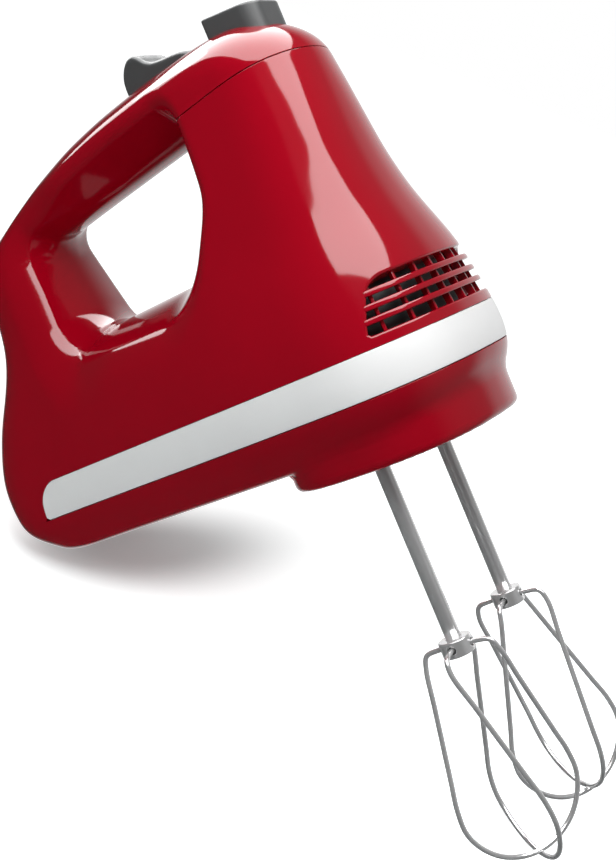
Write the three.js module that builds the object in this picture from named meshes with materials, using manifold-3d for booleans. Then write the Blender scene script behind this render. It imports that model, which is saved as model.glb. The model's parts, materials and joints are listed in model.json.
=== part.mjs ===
// Hand mixer: a red motor housing with a looped handle, two counter-turning wire beaters,
// a worm drive, a thumb-operated speed slider and a press-down beater ejector.
// Millimetres. +X points out of the nose, +Z up, beaters hang down.
// The origin is midway between the two drive spindles, on the flat face under the gear case.
import * as THREE from 'three';
import { mergeVertices } from 'three/addons/utils/BufferGeometryUtils.js';
import Module from 'manifold-3d';

const wasm = await Module();
wasm.setup();

// ---------------------------------------------------------------- driving dimensions
// Clearance between pieces that touch or run in each other.
const GAP = 0.3;

// Outer form of the body.
const NOSE_X = 41;
const HEEL_X = -162.6;
const HALF_WIDTH = 44.5;
const BASE_Z = 7;
const BAND_LOW = 21.5;
const BAND_HIGH = 35;
const TOP_Z = 147.4;
const TOWER_HALF_WIDTH = 26;
const TAIL_NARROWING = 0.16;
const NOSE_ROUNDING = 42;
const TAIL_ROUNDING = 27;
const TAIL_ROUNDING_HIGH = 19;
const CROWN_DEPTH = 16;
const HEEL_FLAT_DEPTH = 1.5;
const WALL = 2.6;

// Seam between the main housing and the top cover, which holds the whole of the handle.
// Depths are measured from the highest point of the body.
const SEAM_FRONT_DEPTH = 21;
const SEAM_REAR_DEPTH = 35;
const SEAM_REAR_SLOPE = 0.13;
const HANDLE_SEAM_DEPTH = 41.4;

// Finger opening under the handle.
const OPENING_FRONT_X = -20;
const OPENING_REAR_X = -103;
const OPENING_LEAN = 6.5;
const OPENING_FLOOR_Z = 77;
const OPENING_FLOOR_DROP = 12.5;
const HANDLE_FRONT_DEPTH = 24.9;
const HANDLE_REAR_DEPTH = 32.4;
const HANDLE_UNDER_HALF_WIDTH = 13;
const HANDLE_CREST_DROP = 11.5;

// Trim band.
const BAND_THICKNESS = 1.5;
const BAND_REAR_X = -132;
const BAND_END_RADIUS = 12;
const BAND_BACKING = 1.2;

// Air outlet in the nose.
const VENT_LOW_Z = 38.6;
const VENT_HIGH_Z = 54.6;
const VENT_REAR_X = 25;
const VENT_SLOPE = 8;
const VENT_DEPTH = 5;
const SLAT_DEPTH = 2.6;
const SLOT_COUNT = 4;
const SLOT_HEIGHT = 2;
const RIB_WIDTH = 1.6;
const PILLAR_WIDTH = 10;
const PILLAR_INSET = 1;

// Gear case under the nose.
const CHIN_FRONT_X = 37;
const CHIN_REAR_X = -38;
const CHIN_HALF_WIDTH = 36;
const CHIN_EDGE = 2.4;
const SPINDLE_HOLE_RADIUS = 7;

// Worm drive.
const SPINDLE_SPACING = 42;
const MOTOR_Z = 38;
const WORM_PITCH_RADIUS = 8;
const WHEEL_TEETH = 30;
const TOOTH_ADDENDUM = 0.85;
const TOOTH_DEDENDUM = 1.1;
const TOOTH_FILL = 0.37;
const WHEEL_FACE = 8;
const WORM_TURNS = 4;
const MOTOR_SHAFT_RADIUS = 3;
const SPINDLE_RADIUS = 5.5;
const SPINDLE_LOW_Z = 1;
const SPINDLE_HIGH_Z = 45;

// Motor.
const ROTOR_RADIUS = 14;
const ROTOR_LENGTH = 30;
const ROTOR_X = -66;
const STATOR_WIDTH = 52;
const STATOR_HEIGHT = 48;
const FAN_RADIUS = 21;
const FAN_X = -37;
const COMMUTATOR_RADIUS = 9;
const COMMUTATOR_X = -95;
const REAR_BEARING_X = -112;

// Beaters.
const SHAFT_RADIUS = 2.6;
const SHAFT_TOP_Z = 42;
const COLLAR_RADIUS = 5.5;
const COLLAR_HEIGHT = 5.5;
const COLLAR_TOP_Z = -60.5;
const WIRE_RADIUS = 0.85;
const LOOP_RADIUS = 21.9;
const LOOP_SHOULDER_RADIUS = 13.2;
const LOOP_SHOULDER_DROP = 4.9;
const LOOP_WIDEST_DROP = 50.8;
const LOOP_DEPTH = 72.4;
const LOOP_TWIST = 44;
const LOOP_START = 8;

// Controls.
const EJECTOR_REAR_X = -6;
const EJECTOR_FRONT_X = 13.5;
const EJECTOR_HALF_WIDTH = 10;
const EJECTOR_FRONT_ROUNDING = 7;
const EJECTOR_RISE = 5;
const EJECTOR_HEIGHT = 18.4;
const EJECTOR_SLOPE = 0.21;
const SLIDER_REAR_X = -45.7;
const SLIDER_LENGTH = 33;
const SLIDER_HALF_WIDTH = 8.5;
const SLIDER_RISE = 9.6;
const SLIDER_TRAVEL = 18;
const TRACK_DEPTH = 4.8;

// Heights that follow from the top of the body.
const SEAM_FRONT_Z = TOP_Z - SEAM_FRONT_DEPTH;
const SEAM_REAR_Z = TOP_Z - SEAM_REAR_DEPTH;
const HANDLE_SEAM_Z = TOP_Z - HANDLE_SEAM_DEPTH;
const HANDLE_UNDER_FRONT_Z = TOP_Z - HANDLE_FRONT_DEPTH;
const HANDLE_UNDER_REAR_Z = TOP_Z - HANDLE_REAR_DEPTH;
const EJECTOR_TOP_Z = TOP_Z + EJECTOR_RISE;
const EJECTOR_LOW_Z = EJECTOR_TOP_Z - EJECTOR_HEIGHT;
const SLIDER_TOP_Z = TOP_Z + SLIDER_RISE;
const TRACK_FLOOR_Z = TOP_Z - TRACK_DEPTH;

// ---------------------------------------------------------------- solids and geometry
const rad = THREE.MathUtils.degToRad;

// A closed three.js geometry as a solid that can be joined and cut.
function solid(geometry) {
  const bare = geometry.index ? geometry.toNonIndexed() : geometry.clone();
  for (const name of Object.keys(bare.attributes)) {
    if (name !== 'position') bare.deleteAttribute(name);
  }
  const merged = mergeVertices(bare, 1e-4);
  const corners = merged.index.array;
  const kept = [];
  for (let i = 0; i < corners.length; i += 3) {
    const [a, b, c] = [corners[i], corners[i + 1], corners[i + 2]];
    if (a !== b && b !== c && c !== a) kept.push(a, b, c);
  }
  const make = (triangles) => new wasm.Manifold(new wasm.Mesh({
    numProp: 3,
    vertProperties: merged.attributes.position.array,
    triVerts: new Uint32Array(triangles),
  }));
  const made = make(kept);
  if (made.volume() > 0) return made;
  return make(kept.reverse());
}

// A solid as a three.js geometry.
function geometryOf(body) {
  const mesh = body.getMesh();
  const geometry = new THREE.BufferGeometry();
  geometry.setAttribute('position', new THREE.BufferAttribute(mesh.vertProperties, 3));
  geometry.setIndex(new THREE.BufferAttribute(mesh.triVerts, 1));
  geometry.computeVertexNormals();
  return geometry;
}

const join = (first, ...others) => others.reduce((sum, next) => sum.add(next), first);
const cut = (first, ...others) => others.reduce((rest, next) => rest.subtract(next), first);

// A smooth curve value(position) through a few stations, without overshoot between them.
function profile(...stations) {
  const count = stations.length;
  const rise = (i) => (stations[i + 1][1] - stations[i][1]) / (stations[i + 1][0] - stations[i][0]);
  const slopes = stations.map((station, i) => {
    if (i === 0) return rise(0);
    if (i === count - 1) return rise(count - 2);
    const [before, after] = [rise(i - 1), rise(i)];
    return before * after <= 0 ? 0 : (2 * before * after) / (before + after);
  });
  return (position) => {
    const at = THREE.MathUtils.clamp(position, stations[0][0], stations[count - 1][0]);
    let i = 0;
    while (i < count - 2 && at > stations[i + 1][0]) i += 1;
    const span = stations[i + 1][0] - stations[i][0];
    const t = (at - stations[i][0]) / span;
    const [h00, h01] = [1 - t * t * (3 - 2 * t), t * t * (3 - 2 * t)];
    const [h10, h11] = [t * (1 - t) * (1 - t), t * t * (t - 1)];
    const ends = h00 * stations[i][1] + h01 * stations[i + 1][1];
    return ends + span * (h10 * slopes[i] + h11 * slopes[i + 1]);
  };
}

// A closed skin over a stack of rings of points, each end closed by a fan round its middle.
function loft(rings) {
  const size = rings[0].length;
  const middle = (ring) => ring.reduce((sum, p) => sum.add(p), new THREE.Vector3()).divideScalar(size);
  const points = [...rings.flat(), middle(rings[0]), middle(rings.at(-1))];
  const [startMiddle, endMiddle] = [points.length - 2, points.length - 1];
  const last = (rings.length - 1) * size;
  const triangles = [];
  for (let i = 0; i < size; i += 1) {
    const next = (i + 1) % size;
    triangles.push(startMiddle, next, i, endMiddle, last + i, last + next);
    for (let row = 0; row < last; row += size) {
      const [a, b] = [row + i, row + next];
      triangles.push(a, b, b + size, a, b + size, a + size);
    }
  }
  const geometry = new THREE.BufferGeometry().setFromPoints(points);
  geometry.setIndex(triangles);
  return solid(geometry);
}

const shapeOf = (points) => new THREE.Shape(points.map(([u, v]) => new THREE.Vector2(u, v)));

// Prisms of an outline: in X and Z along Y, in X and Y along Z, in Y and Z along X.
function extrude(shape, from, to) {
  const settings = { depth: to - from, bevelEnabled: false, curveSegments: 10 };
  return new THREE.ExtrudeGeometry(shape, settings).translate(0, 0, from);
}

function alongZ(shape, from, to) {
  return solid(extrude(shape, from, to));
}

function alongY(shape, from, to) {
  return solid(extrude(shape, -to, -from).rotateX(Math.PI / 2));
}

function alongX(shape, from, to) {
  const turn = new THREE.Matrix4().makeBasis(
    new THREE.Vector3(0, 1, 0),
    new THREE.Vector3(0, 0, 1),
    new THREE.Vector3(1, 0, 0),
  );
  return solid(extrude(shape, from, to).applyMatrix4(turn));
}

// A turned piece from [radius, height] points, standing along Z or lying along X.
function turned(points, sides = 16) {
  const outline = points.map(([r, h]) => new THREE.Vector2(r, h));
  return solid(new THREE.LatheGeometry(outline, sides).rotateX(Math.PI / 2));
}

function turnedAlongX(points, sides = 20) {
  const outline = points.map(([r, h]) => new THREE.Vector2(r, h));
  return solid(new THREE.LatheGeometry(outline, sides).rotateZ(-Math.PI / 2));
}

const rod = (radius, from, to, sides) => turned(
  [[0, from], [radius, from], [radius, to], [0, to]], sides);
const rodAlongX = (radius, from, to, sides) => turnedAlongX(
  [[0, from], [radius, from], [radius, to], [0, to]], sides);
const tube = (bore, radius, from, to, sides) => turned(
  [[bore, from], [radius, from], [radius, to], [bore, to], [bore, from]], sides);
const tubeAlongX = (bore, radius, from, to, sides) => turnedAlongX(
  [[bore, from], [radius, from], [radius, to], [bore, to], [bore, from]], sides);

function block(x0, x1, y0, y1, z0, z1) {
  const box = new THREE.BoxGeometry(x1 - x0, y1 - y0, z1 - z0);
  return solid(box.translate((x0 + x1) / 2, (y0 + y1) / 2, (z0 + z1) / 2));
}

// An outline with its corners rounded: corners are [u, v, radius].
function rounded(corners, steps = 5) {
  const points = [];
  corners.forEach(([u, v, radius], i) => {
    if (!radius) {
      points.push([u, v]);
      return;
    }
    const corner = new THREE.Vector2(u, v);
    const before = new THREE.Vector2(...corners.at(i - 1).slice(0, 2)).sub(corner);
    const after = new THREE.Vector2(...corners[(i + 1) % corners.length].slice(0, 2)).sub(corner);
    const half = Math.abs(before.angleTo(after)) / 2;
    const reach = Math.min(radius / Math.tan(half), before.length() * 0.96, after.length() * 0.96);
    const start = before.setLength(reach).add(corner);
    const end = after.setLength(reach).add(corner);
    const bend = new THREE.QuadraticBezierCurve(start, corner, end);
    for (const p of bend.getPoints(steps)) points.push([p.x, p.y]);
  });
  return points;
}

function roundedBox(x0, x1, halfWidth, radius) {
  return rounded([
    [x0, -halfWidth, radius], [x1, -halfWidth, radius],
    [x1, halfWidth, radius], [x0, halfWidth, radius],
  ]);
}

// ---------------------------------------------------------------- outer form of the body
// Front and rear silhouette, half width and top line of the whole body.
const BULGE_Z = (BAND_LOW + BAND_HIGH) / 2;
const noseAt = profile(
  [BASE_Z, NOSE_X - 6.5], [BASE_Z + 6, NOSE_X - 3.2], [BAND_LOW, NOSE_X - 0.6], [BULGE_Z, NOSE_X],
  [BAND_HIGH + 1, NOSE_X - 1.2], [57, NOSE_X - 4.1], [78, NOSE_X - 11], [92, NOSE_X - 13.8],
  [104, NOSE_X - 14.9], [120, NOSE_X - 16], [134, NOSE_X - 17.6]);
const tailAt = profile(
  [BASE_Z, HEEL_X + 12.5], [17.5, HEEL_X - HEEL_FLAT_DEPTH], [39, HEEL_X - HEEL_FLAT_DEPTH],
  [50, HEEL_X + 2.3], [60, HEEL_X + 6.8], [72, HEEL_X + 14.8], [84, HEEL_X + 21],
  [98, HEEL_X + 23], [112, HEEL_X + 22], [124, HEEL_X + 20]);
const widthAt = profile(
  [BASE_Z, HALF_WIDTH - 8.5], [BASE_Z + 6, HALF_WIDTH - 4], [BAND_LOW, HALF_WIDTH - 0.8],
  [BULGE_Z, HALF_WIDTH], [BAND_HIGH + 1, HALF_WIDTH - 0.2], [46, HALF_WIDTH - 1.6],
  [58, HALF_WIDTH - 4.4], [77, TOWER_HALF_WIDTH + 8], [95, TOWER_HALF_WIDTH + 4],
  [110, TOWER_HALF_WIDTH + 1.5], [125, TOWER_HALF_WIDTH], [TOP_Z, TOWER_HALF_WIDTH - 0.5]);
const topAt = profile(
  [-142, TOP_Z - 26.5], [-126, TOP_Z - 21.7], [-109, TOP_Z - 15], [-93, TOP_Z - 9.7],
  [-74, TOP_Z - 5.1], [-56, TOP_Z - 2.6], [-34, TOP_Z - 0.9], [-14, TOP_Z], [-2, TOP_Z - 0.2],
  [8, TOP_Z - 1.6], [16, TOP_Z - 3.4], [25, TOP_Z - 4.6]);
const seamAt = profile(
  [OPENING_FRONT_X, SEAM_FRONT_Z], [5, SEAM_FRONT_Z], [14, SEAM_FRONT_Z + 0.8],
  [25, SEAM_FRONT_Z + 3]);
const NOSE_START = NOSE_X - NOSE_ROUNDING;
const tailStartAt = (z) => tailAt(z) + THREE.MathUtils.lerp(
  TAIL_ROUNDING, TAIL_ROUNDING_HIGH, THREE.MathUtils.smoothstep(z, 50, 110));
const TAPER_START = -10;
const TAPER_END = -140;
const taperAt = (x) => 1 - TAIL_NARROWING * THREE.MathUtils.smoothstep(-x, -TAPER_START, -TAPER_END);

// What is left of the width at a place after the rounding of nose, tail and crown: 0 outside.
function fullness(x, z, inset) {
  const nose = Math.max(0, (x - NOSE_START) / (noseAt(z) - inset - NOSE_START));
  const tailStart = tailStartAt(z);
  const tail = Math.max(0, (tailStart - x) / (tailStart - tailAt(z) - inset));
  const crown = Math.max(0, 1 - (topAt(x) - inset - z) / CROWN_DEPTH);
  return 1 - nose ** 2.5 - tail ** 2.5 - crown ** 2;
}

function halfWidthAt(x, z, inset = 0) {
  const left = fullness(x, z, inset);
  if (left <= 0) return 0;
  const softness = THREE.MathUtils.lerp(2.5, 1.9, THREE.MathUtils.smoothstep(z, 100, 140));
  return (widthAt(z) * taperAt(x) - inset) * left ** (1 / softness);
}

// The place between inside and outside where a test stops being true.
function edgeBetween(inside, outside, test) {
  let [a, b] = [inside, outside];
  for (let i = 0; i < 40; i += 1) {
    const middle = (a + b) / 2;
    if (test(middle)) a = middle;
    else b = middle;
  }
  return a;
}

// Level outline of the body at one height, as a ring with the same count at every height.
const CORE_X = -30;
const THINNEST = 0.05;
function levelRing(z, inset, count) {
  const inside = (x) => fullness(x, z, inset) > 0;
  const front = edgeBetween(CORE_X, NOSE_X + 5, inside);
  const rear = Math.max(edgeBetween(CORE_X, HEEL_X - 5, inside), HEEL_X + inset);
  const side = [];
  for (let i = 0; i <= count; i += 1) {
    const along = (1 - Math.cos((Math.PI * i) / count)) / 2;
    const x = THREE.MathUtils.lerp(front, rear, along);
    const y = i === 0 ? 0 : halfWidthAt(x, z, inset);
    side.push([x, y > THINNEST ? y : 0]);
  }
  const right = side.map(([x, y]) => new THREE.Vector3(x, -y, z));
  const left = side.slice(1).reverse().map(([x, y]) => new THREE.Vector3(x, y, z));
  return [...right, ...left];
}

// Outer faces take more facets than the walls of the rooms inside.
function levelLoft(levels, inset, count = inset < WALL ? 14 : 9) {
  return loft(levels.map((z) => levelRing(z, inset, count)));
}

// Upright section of the top at one station along the body, from well under the seam upwards.
const COVER_FLOOR_Z = HANDLE_SEAM_Z - 4;
function uprightRing(x, inset, count) {
  const high = edgeBetween(COVER_FLOOR_Z, TOP_Z + 5, (z) => fullness(x, z, inset) > 0);
  const side = [];
  for (let i = 0; i <= count; i += 1) {
    const z = THREE.MathUtils.lerp(COVER_FLOOR_Z, high, Math.sin((Math.PI / 2) * (i / count)));
    side.push([i === count ? 0 : halfWidthAt(x, z, inset), z]);
  }
  const right = side.map(([y, z]) => new THREE.Vector3(x, -y, z));
  const left = side.slice(0, -1).reverse().map(([y, z]) => new THREE.Vector3(x, y, z));
  return [...right, ...left];
}

function crownLoft(inset, stations = inset < WALL ? 18 : 12, count = inset < WALL ? 6 : 5) {
  const inside = (x) => fullness(x, COVER_FLOOR_Z + 1, inset) > 0.002;
  const front = edgeBetween(CORE_X, NOSE_X, inside);
  const rear = edgeBetween(CORE_X, HEEL_X, inside);
  const rings = [];
  for (let i = 0; i <= stations; i += 1) {
    const along = (1 - Math.cos((Math.PI * i) / stations)) / 2;
    rings.push(uprightRing(THREE.MathUtils.lerp(rear, front, along), inset, count));
  }
  return loft(rings);
}

// Everything above the seam, or below it, moved by a distance. Along the handle the seam drops
// into the finger opening, so that the handle has no line on it.
function seamSide(direction, shift) {
  const [x0, x1] = [HEEL_X - 20, NOSE_X + 20];
  const far = direction > 0 ? TOP_Z + 30 : -30;
  const frontWall = OPENING_FRONT_X - 2 * GAP - shift;
  const rearWall = OPENING_REAR_X - OPENING_LEAN + 2 + shift;
  const line = [x1, 25, 20, 14, 8, 0, OPENING_FRONT_X, frontWall].map((x) => [x, seamAt(x) + shift]);
  line.push([frontWall, HANDLE_SEAM_Z], [rearWall, HANDLE_SEAM_Z], [rearWall, SEAM_REAR_Z + shift]);
  line.push([x0, SEAM_REAR_Z + SEAM_REAR_SLOPE * (x0 - rearWall) + shift]);
  return alongY(shapeOf([...line, [x0, far], [x1, far]]), -HALF_WIDTH - 10, HALF_WIDTH + 10);
}

// ---------------------------------------------------------------- finger opening
// Outline of the opening at one distance from the middle plane. Its floor sinks towards the
// sides, and beside the handle its ceiling climbs to the crest line, which tapers the handle.
function openingRing(y, grow) {
  const away = Math.abs(y);
  const frontX = OPENING_FRONT_X + grow;
  const rearLowX = OPENING_REAR_X - grow;
  const rearHighX = rearLowX - OPENING_LEAN;
  const floorZ = OPENING_FLOOR_Z - OPENING_FLOOR_DROP * (away / 36) ** 2 - grow;
  const ceiling = (x) => {
    const along = (x - rearHighX) / (frontX - rearHighX);
    const under = THREE.MathUtils.lerp(HANDLE_UNDER_REAR_Z, HANDLE_UNDER_FRONT_Z, along);
    const crest = topAt(x) - HANDLE_CREST_DROP;
    const crestY = widthAt(crest) * taperAt(x) - GAP;
    const climb = (away - HANDLE_UNDER_HALF_WIDTH) / (crestY - HANDLE_UNDER_HALF_WIDTH);
    const share = THREE.MathUtils.clamp(climb, 0, 1.1);
    return THREE.MathUtils.lerp(under, crest, share) + grow * 1.6;
  };
  const outline = rounded([
    [frontX, floorZ, 28], [rearLowX, floorZ, 20], [rearHighX, ceiling(rearHighX), 8],
    [rearHighX + 9, ceiling(rearHighX + 9), 0],
    [frontX - 7, ceiling(frontX - 7), 0], [frontX, ceiling(frontX), 5],
  ], grow > 0 ? 3 : 4);
  const ring = [];
  const ceilingSteps = grow > 0 ? 3 : 5;
  outline.forEach(([x, z], i) => {
    ring.push(new THREE.Vector3(x, y, z));
    const next = outline[i + 1];
    if (!next || Math.abs(x - (rearHighX + 9)) > 1e-6) return;
    for (let k = 1; k < ceilingSteps; k += 1) {
      const cx = THREE.MathUtils.lerp(x, next[0], k / ceilingSteps);
      ring.push(new THREE.Vector3(cx, y, ceiling(cx)));
    }
  });
  return ring;
}

function openingCutter(grow = 0) {
  const shares = grow > 0 ? [1.07, 0.68, 0.46] : [1.07, 0.82, 0.64, 0.54, 0.45, 0.37];
  const half = [...shares.map((share) => share * HALF_WIDTH), HANDLE_UNDER_HALF_WIDTH];
  const stations = [...half.map((y) => -y), 0, ...half.reverse()];
  return loft(stations.map((y) => openingRing(y, grow)));
}

const opening = openingCutter();
const openingWalls = openingCutter(WALL);

// ---------------------------------------------------------------- body shells
// Side outline of the trim band's groove, rounded at its upper rear corner.
function bandSlab(grow) {
  const [low, high] = [BAND_LOW - grow, BAND_HIGH + grow];
  const rear = BAND_REAR_X - grow;
  const outline = rounded([
    [rear, low, 0], [NOSE_X + 10, low, 0], [NOSE_X + 10, high, 0], [rear, high, BAND_END_RADIUS],
  ]);
  return alongY(shapeOf(outline), -HALF_WIDTH - 5, HALF_WIDTH + 5);
}

// Side outline of the vent window: its rear edge leans forward as it rises.
function ventWindow(grow) {
  const [low, high] = [VENT_LOW_Z - grow, VENT_HIGH_Z + grow];
  const rear = VENT_REAR_X - grow;
  const outline = rounded([
    [rear, low, 2], [NOSE_X + 10, low, 0], [NOSE_X + 10, high, 0], [rear + VENT_SLOPE, high, 4],
  ]);
  return alongY(shapeOf(outline), -HALF_WIDTH - 5, HALF_WIDTH + 5);
}

const TOWER_LOW_Z = 86;
const towerLevels = [0, 0.33, 0.62, 0.82, 1].map(
  (share) => THREE.MathUtils.lerp(TOWER_LOW_Z, SEAM_FRONT_Z + 7, share));
const BODY_LEVELS = [BULGE_Z, BAND_HIGH, 46, 57, 72, ...towerLevels];
const GLAND_Z = 60;
const GLAND_RADIUS = 9;

function mainHousing() {
  const outer = levelLoft([BAND_LOW + GAP / 2, ...BODY_LEVELS], 0);
  const shoulder = BAND_HIGH + 2;
  const lowRoom = levelLoft([BAND_LOW - 1, BULGE_Z, shoulder], WALL + BAND_BACKING);
  const highLevels = [shoulder - 0.5, ...BODY_LEVELS.filter((z) => z > shoulder)];
  const room = cut(join(levelLoft(highLevels, WALL), lowRoom), openingWalls);
  const groove = cut(bandSlab(0), levelLoft([BAND_LOW - 1, BULGE_Z, BAND_HIGH + 1], BAND_THICKNESS + GAP));
  const glandHole = rodAlongX(GLAND_RADIUS + GAP, HEEL_X - 5, HEEL_X + 30).translate(0, 0, GLAND_Z);
  return cut(outer, opening, room, groove, ventWindow(0), glandHole, seamSide(1, -GAP / 2));
}

function trimBand() {
  const levels = [BAND_LOW - 1, BULGE_Z, BAND_HIGH + 1];
  return bandSlab(-GAP).intersect(levelLoft(levels, 0)).subtract(levelLoft(levels, BAND_THICKNESS));
}

const TRACK_CLEARANCE = 0.6;
const TRACK_WALL = 2;
const STEM_X = SLIDER_REAR_X + SLIDER_LENGTH / 2;
const STEM_LENGTH = 8;
const STEM_WIDTH = 4;

function topCover() {
  const trackRear = SLIDER_REAR_X - SLIDER_TRAVEL - TRACK_CLEARANCE;
  const trackFront = SLIDER_REAR_X + SLIDER_LENGTH + TRACK_CLEARANCE;
  const trackHalf = SLIDER_HALF_WIDTH + TRACK_CLEARANCE;
  const bed = block(
    trackRear - TRACK_WALL, trackFront + TRACK_WALL, -trackHalf - TRACK_WALL, trackHalf + TRACK_WALL,
    TRACK_FLOOR_Z - TRACK_WALL, TOP_Z + 5);
  const room = cut(crownLoft(WALL), openingWalls, bed);
  const track = alongZ(shapeOf(roundedBox(trackRear, trackFront, trackHalf, 4)), TRACK_FLOOR_Z, TOP_Z + 9);
  const slot = block(
    STEM_X - STEM_LENGTH / 2 - SLIDER_TRAVEL - TRACK_CLEARANCE, STEM_X + STEM_LENGTH / 2 + TRACK_CLEARANCE,
    -STEM_WIDTH / 2 - GAP, STEM_WIDTH / 2 + GAP, TRACK_FLOOR_Z - 5, TRACK_FLOOR_Z + 1);
  const buttonHole = alongZ(ejectorPlan(GAP), SEAM_FRONT_Z - 15, EJECTOR_TOP_Z + 5);
  return cut(crownLoft(0), opening, room, track, slot, buttonHole, seamSide(-1, GAP / 2));
}

// Plan outline of the gear case, rounder than the body above it.
function chinRing(z, inset, count = 26) {
  const middle = (CHIN_FRONT_X + CHIN_REAR_X) / 2;
  const reach = (CHIN_FRONT_X - CHIN_REAR_X) / 2 - inset;
  const ring = [];
  for (let i = 0; i < count; i += 1) {
    const angle = (2 * Math.PI * i) / count;
    const [c, s] = [Math.cos(angle), Math.sin(angle)];
    const x = middle + reach * Math.sign(c) * Math.abs(c) ** 0.8;
    const y = (CHIN_HALF_WIDTH - inset) * Math.sign(s) * Math.abs(s) ** 0.8;
    ring.push(new THREE.Vector3(x, y, z));
  }
  return ring;
}

function lowerBase() {
  const rim = BAND_LOW - GAP / 2;
  const tray = levelLoft([BASE_Z, BASE_Z + 2, BASE_Z + 6, 18, rim], 0);
  const chin = loft([
    chinRing(0, CHIN_EDGE), chinRing(CHIN_EDGE * 0.3, CHIN_EDGE * 0.3), chinRing(CHIN_EDGE, 0),
    chinRing(BASE_Z + 1, 0),
  ]);
  const flare = loft([
    chinRing(BASE_Z - 3.5, 0.2), chinRing(BASE_Z - 1.6, -0.9), chinRing(BASE_Z - 0.4, -2.6),
    chinRing(BASE_Z + 1, -4),
  ]).intersect(levelLoft([0, BASE_Z, BASE_Z + 2], 0));
  const trayRoom = levelLoft([BASE_Z + WALL, BASE_Z + 6, 18, rim + 2], WALL);
  const chinRoom = loft([chinRing(WALL, WALL), chinRing(BASE_Z + WALL + 1, WALL)]);
  const holes = [-1, 1].map((side) => rod(SPINDLE_HOLE_RADIUS, -2, WALL + 2)
    .translate(0, (side * SPINDLE_SPACING) / 2, 0));
  const cradle = [-1, 1].map((end) => {
    const x = ROTOR_X + end * (ROTOR_LENGTH / 2 - 4);
    return block(x - 1.5, x + 1.5, -20, 20, BASE_Z + WALL - 0.5, MOTOR_Z - STATOR_HEIGHT / 2 - GAP);
  });
  return join(cut(join(tray, chin, flare), trayRoom, chinRoom, ...holes), ...cradle);
}

// Slats flush with the skin, in front of a backing with upright ribs and a central pillar.
function ventGrille() {
  const levels = [VENT_LOW_Z - 2, (VENT_LOW_Z + VENT_HIGH_Z) / 2, VENT_HIGH_Z + 2];
  const layer = (inset) => levelLoft(levels, inset, 14);
  const shell = ventWindow(-1.4 * GAP).intersect(layer(0)).subtract(layer(VENT_DEPTH));
  const ribs = [16, 34, 52].flatMap((angle) => [-angle, angle]).map((angle) => block(
    0, NOSE_ROUNDING + 20, -RIB_WIDTH / 2, RIB_WIDTH / 2, VENT_LOW_Z - 2, VENT_HIGH_Z + 2)
    .rotate([0, 0, angle]).translate(NOSE_START, 0, 0));
  const frame = join(ribs[0], ...ribs.slice(1)).intersect(layer(SLAT_DEPTH));
  const pillar = block(
    0, NOSE_X + 20, -PILLAR_WIDTH / 2, PILLAR_WIDTH / 2, VENT_LOW_Z - 2, VENT_HIGH_Z + 2)
    .intersect(layer(PILLAR_INSET));
  const kept = join(frame, pillar);
  const pitch = (VENT_HIGH_Z - VENT_LOW_Z) / SLOT_COUNT;
  const slots = [];
  for (let i = 0; i < SLOT_COUNT; i += 1) {
    const middle = VENT_LOW_Z + pitch * (i + 0.5);
    const rear = VENT_REAR_X + VENT_SLOPE * ((i + 0.5) / SLOT_COUNT) + 2;
    slots.push(block(
      rear, NOSE_X + 10, -HALF_WIDTH, HALF_WIDTH, middle - SLOT_HEIGHT / 2, middle + SLOT_HEIGHT / 2));
  }
  return cut(shell, ...slots.map((slot) => cut(slot, kept)));
}

// ---------------------------------------------------------------- controls
function ejectorPlan(grow) {
  const [rear, front] = [EJECTOR_REAR_X - grow, EJECTOR_FRONT_X + grow];
  const half = EJECTOR_HALF_WIDTH + grow;
  return shapeOf(rounded([
    [rear, -half, 2], [front, -half, EJECTOR_FRONT_ROUNDING + grow],
    [front, half, EJECTOR_FRONT_ROUNDING + grow], [rear, half, 2],
  ]));
}

const DISH_RADIUS = 42;
const DISH_DEPTH = 1.6;

function ejectorButton() {
  const [rear, front] = [EJECTOR_REAR_X - 5, EJECTOR_FRONT_X + 5];
  const fall = (x) => EJECTOR_TOP_Z - EJECTOR_SLOPE * Math.max(0, x - EJECTOR_REAR_X);
  const above = alongY(shapeOf([
    [rear, fall(rear)], [front, fall(front)], [front, EJECTOR_TOP_Z + 9], [rear, EJECTOR_TOP_Z + 9],
  ]), -EJECTOR_HALF_WIDTH - 5, EJECTOR_HALF_WIDTH + 5);
  const middle = (EJECTOR_REAR_X + EJECTOR_FRONT_X) / 2 - 3;
  const dish = rodAlongX(DISH_RADIUS, -24, 24, 60)
    .rotate([0, Math.atan(EJECTOR_SLOPE) * (180 / Math.PI), 0])
    .translate(middle, 0, fall(middle) + DISH_RADIUS - DISH_DEPTH);
  return cut(alongZ(ejectorPlan(0), EJECTOR_LOW_Z, EJECTOR_TOP_Z + 5), above, dish);
}

const YOKE_LOW_Z = 54;
const YOKE_THICKNESS = 5;
const YOKE_MARGIN = 4;
const YOKE_HIGH_Z = YOKE_LOW_Z + YOKE_THICKNESS;
const EJECTOR_ROD_X = 7;
const EJECTOR_ROD_RADIUS = 3;
const GUIDE_LOW_Z = 98;
const GUIDE_THICKNESS = 3;
const GUIDE_HIGH_Z = GUIDE_LOW_Z + GUIDE_THICKNESS;
const FLANGE_RADIUS = 8;
const FLANGE_HEIGHT = 2;
const SPRING_RADIUS = 5.6;
const SPRING_WIRE_RADIUS = 0.6;

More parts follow.
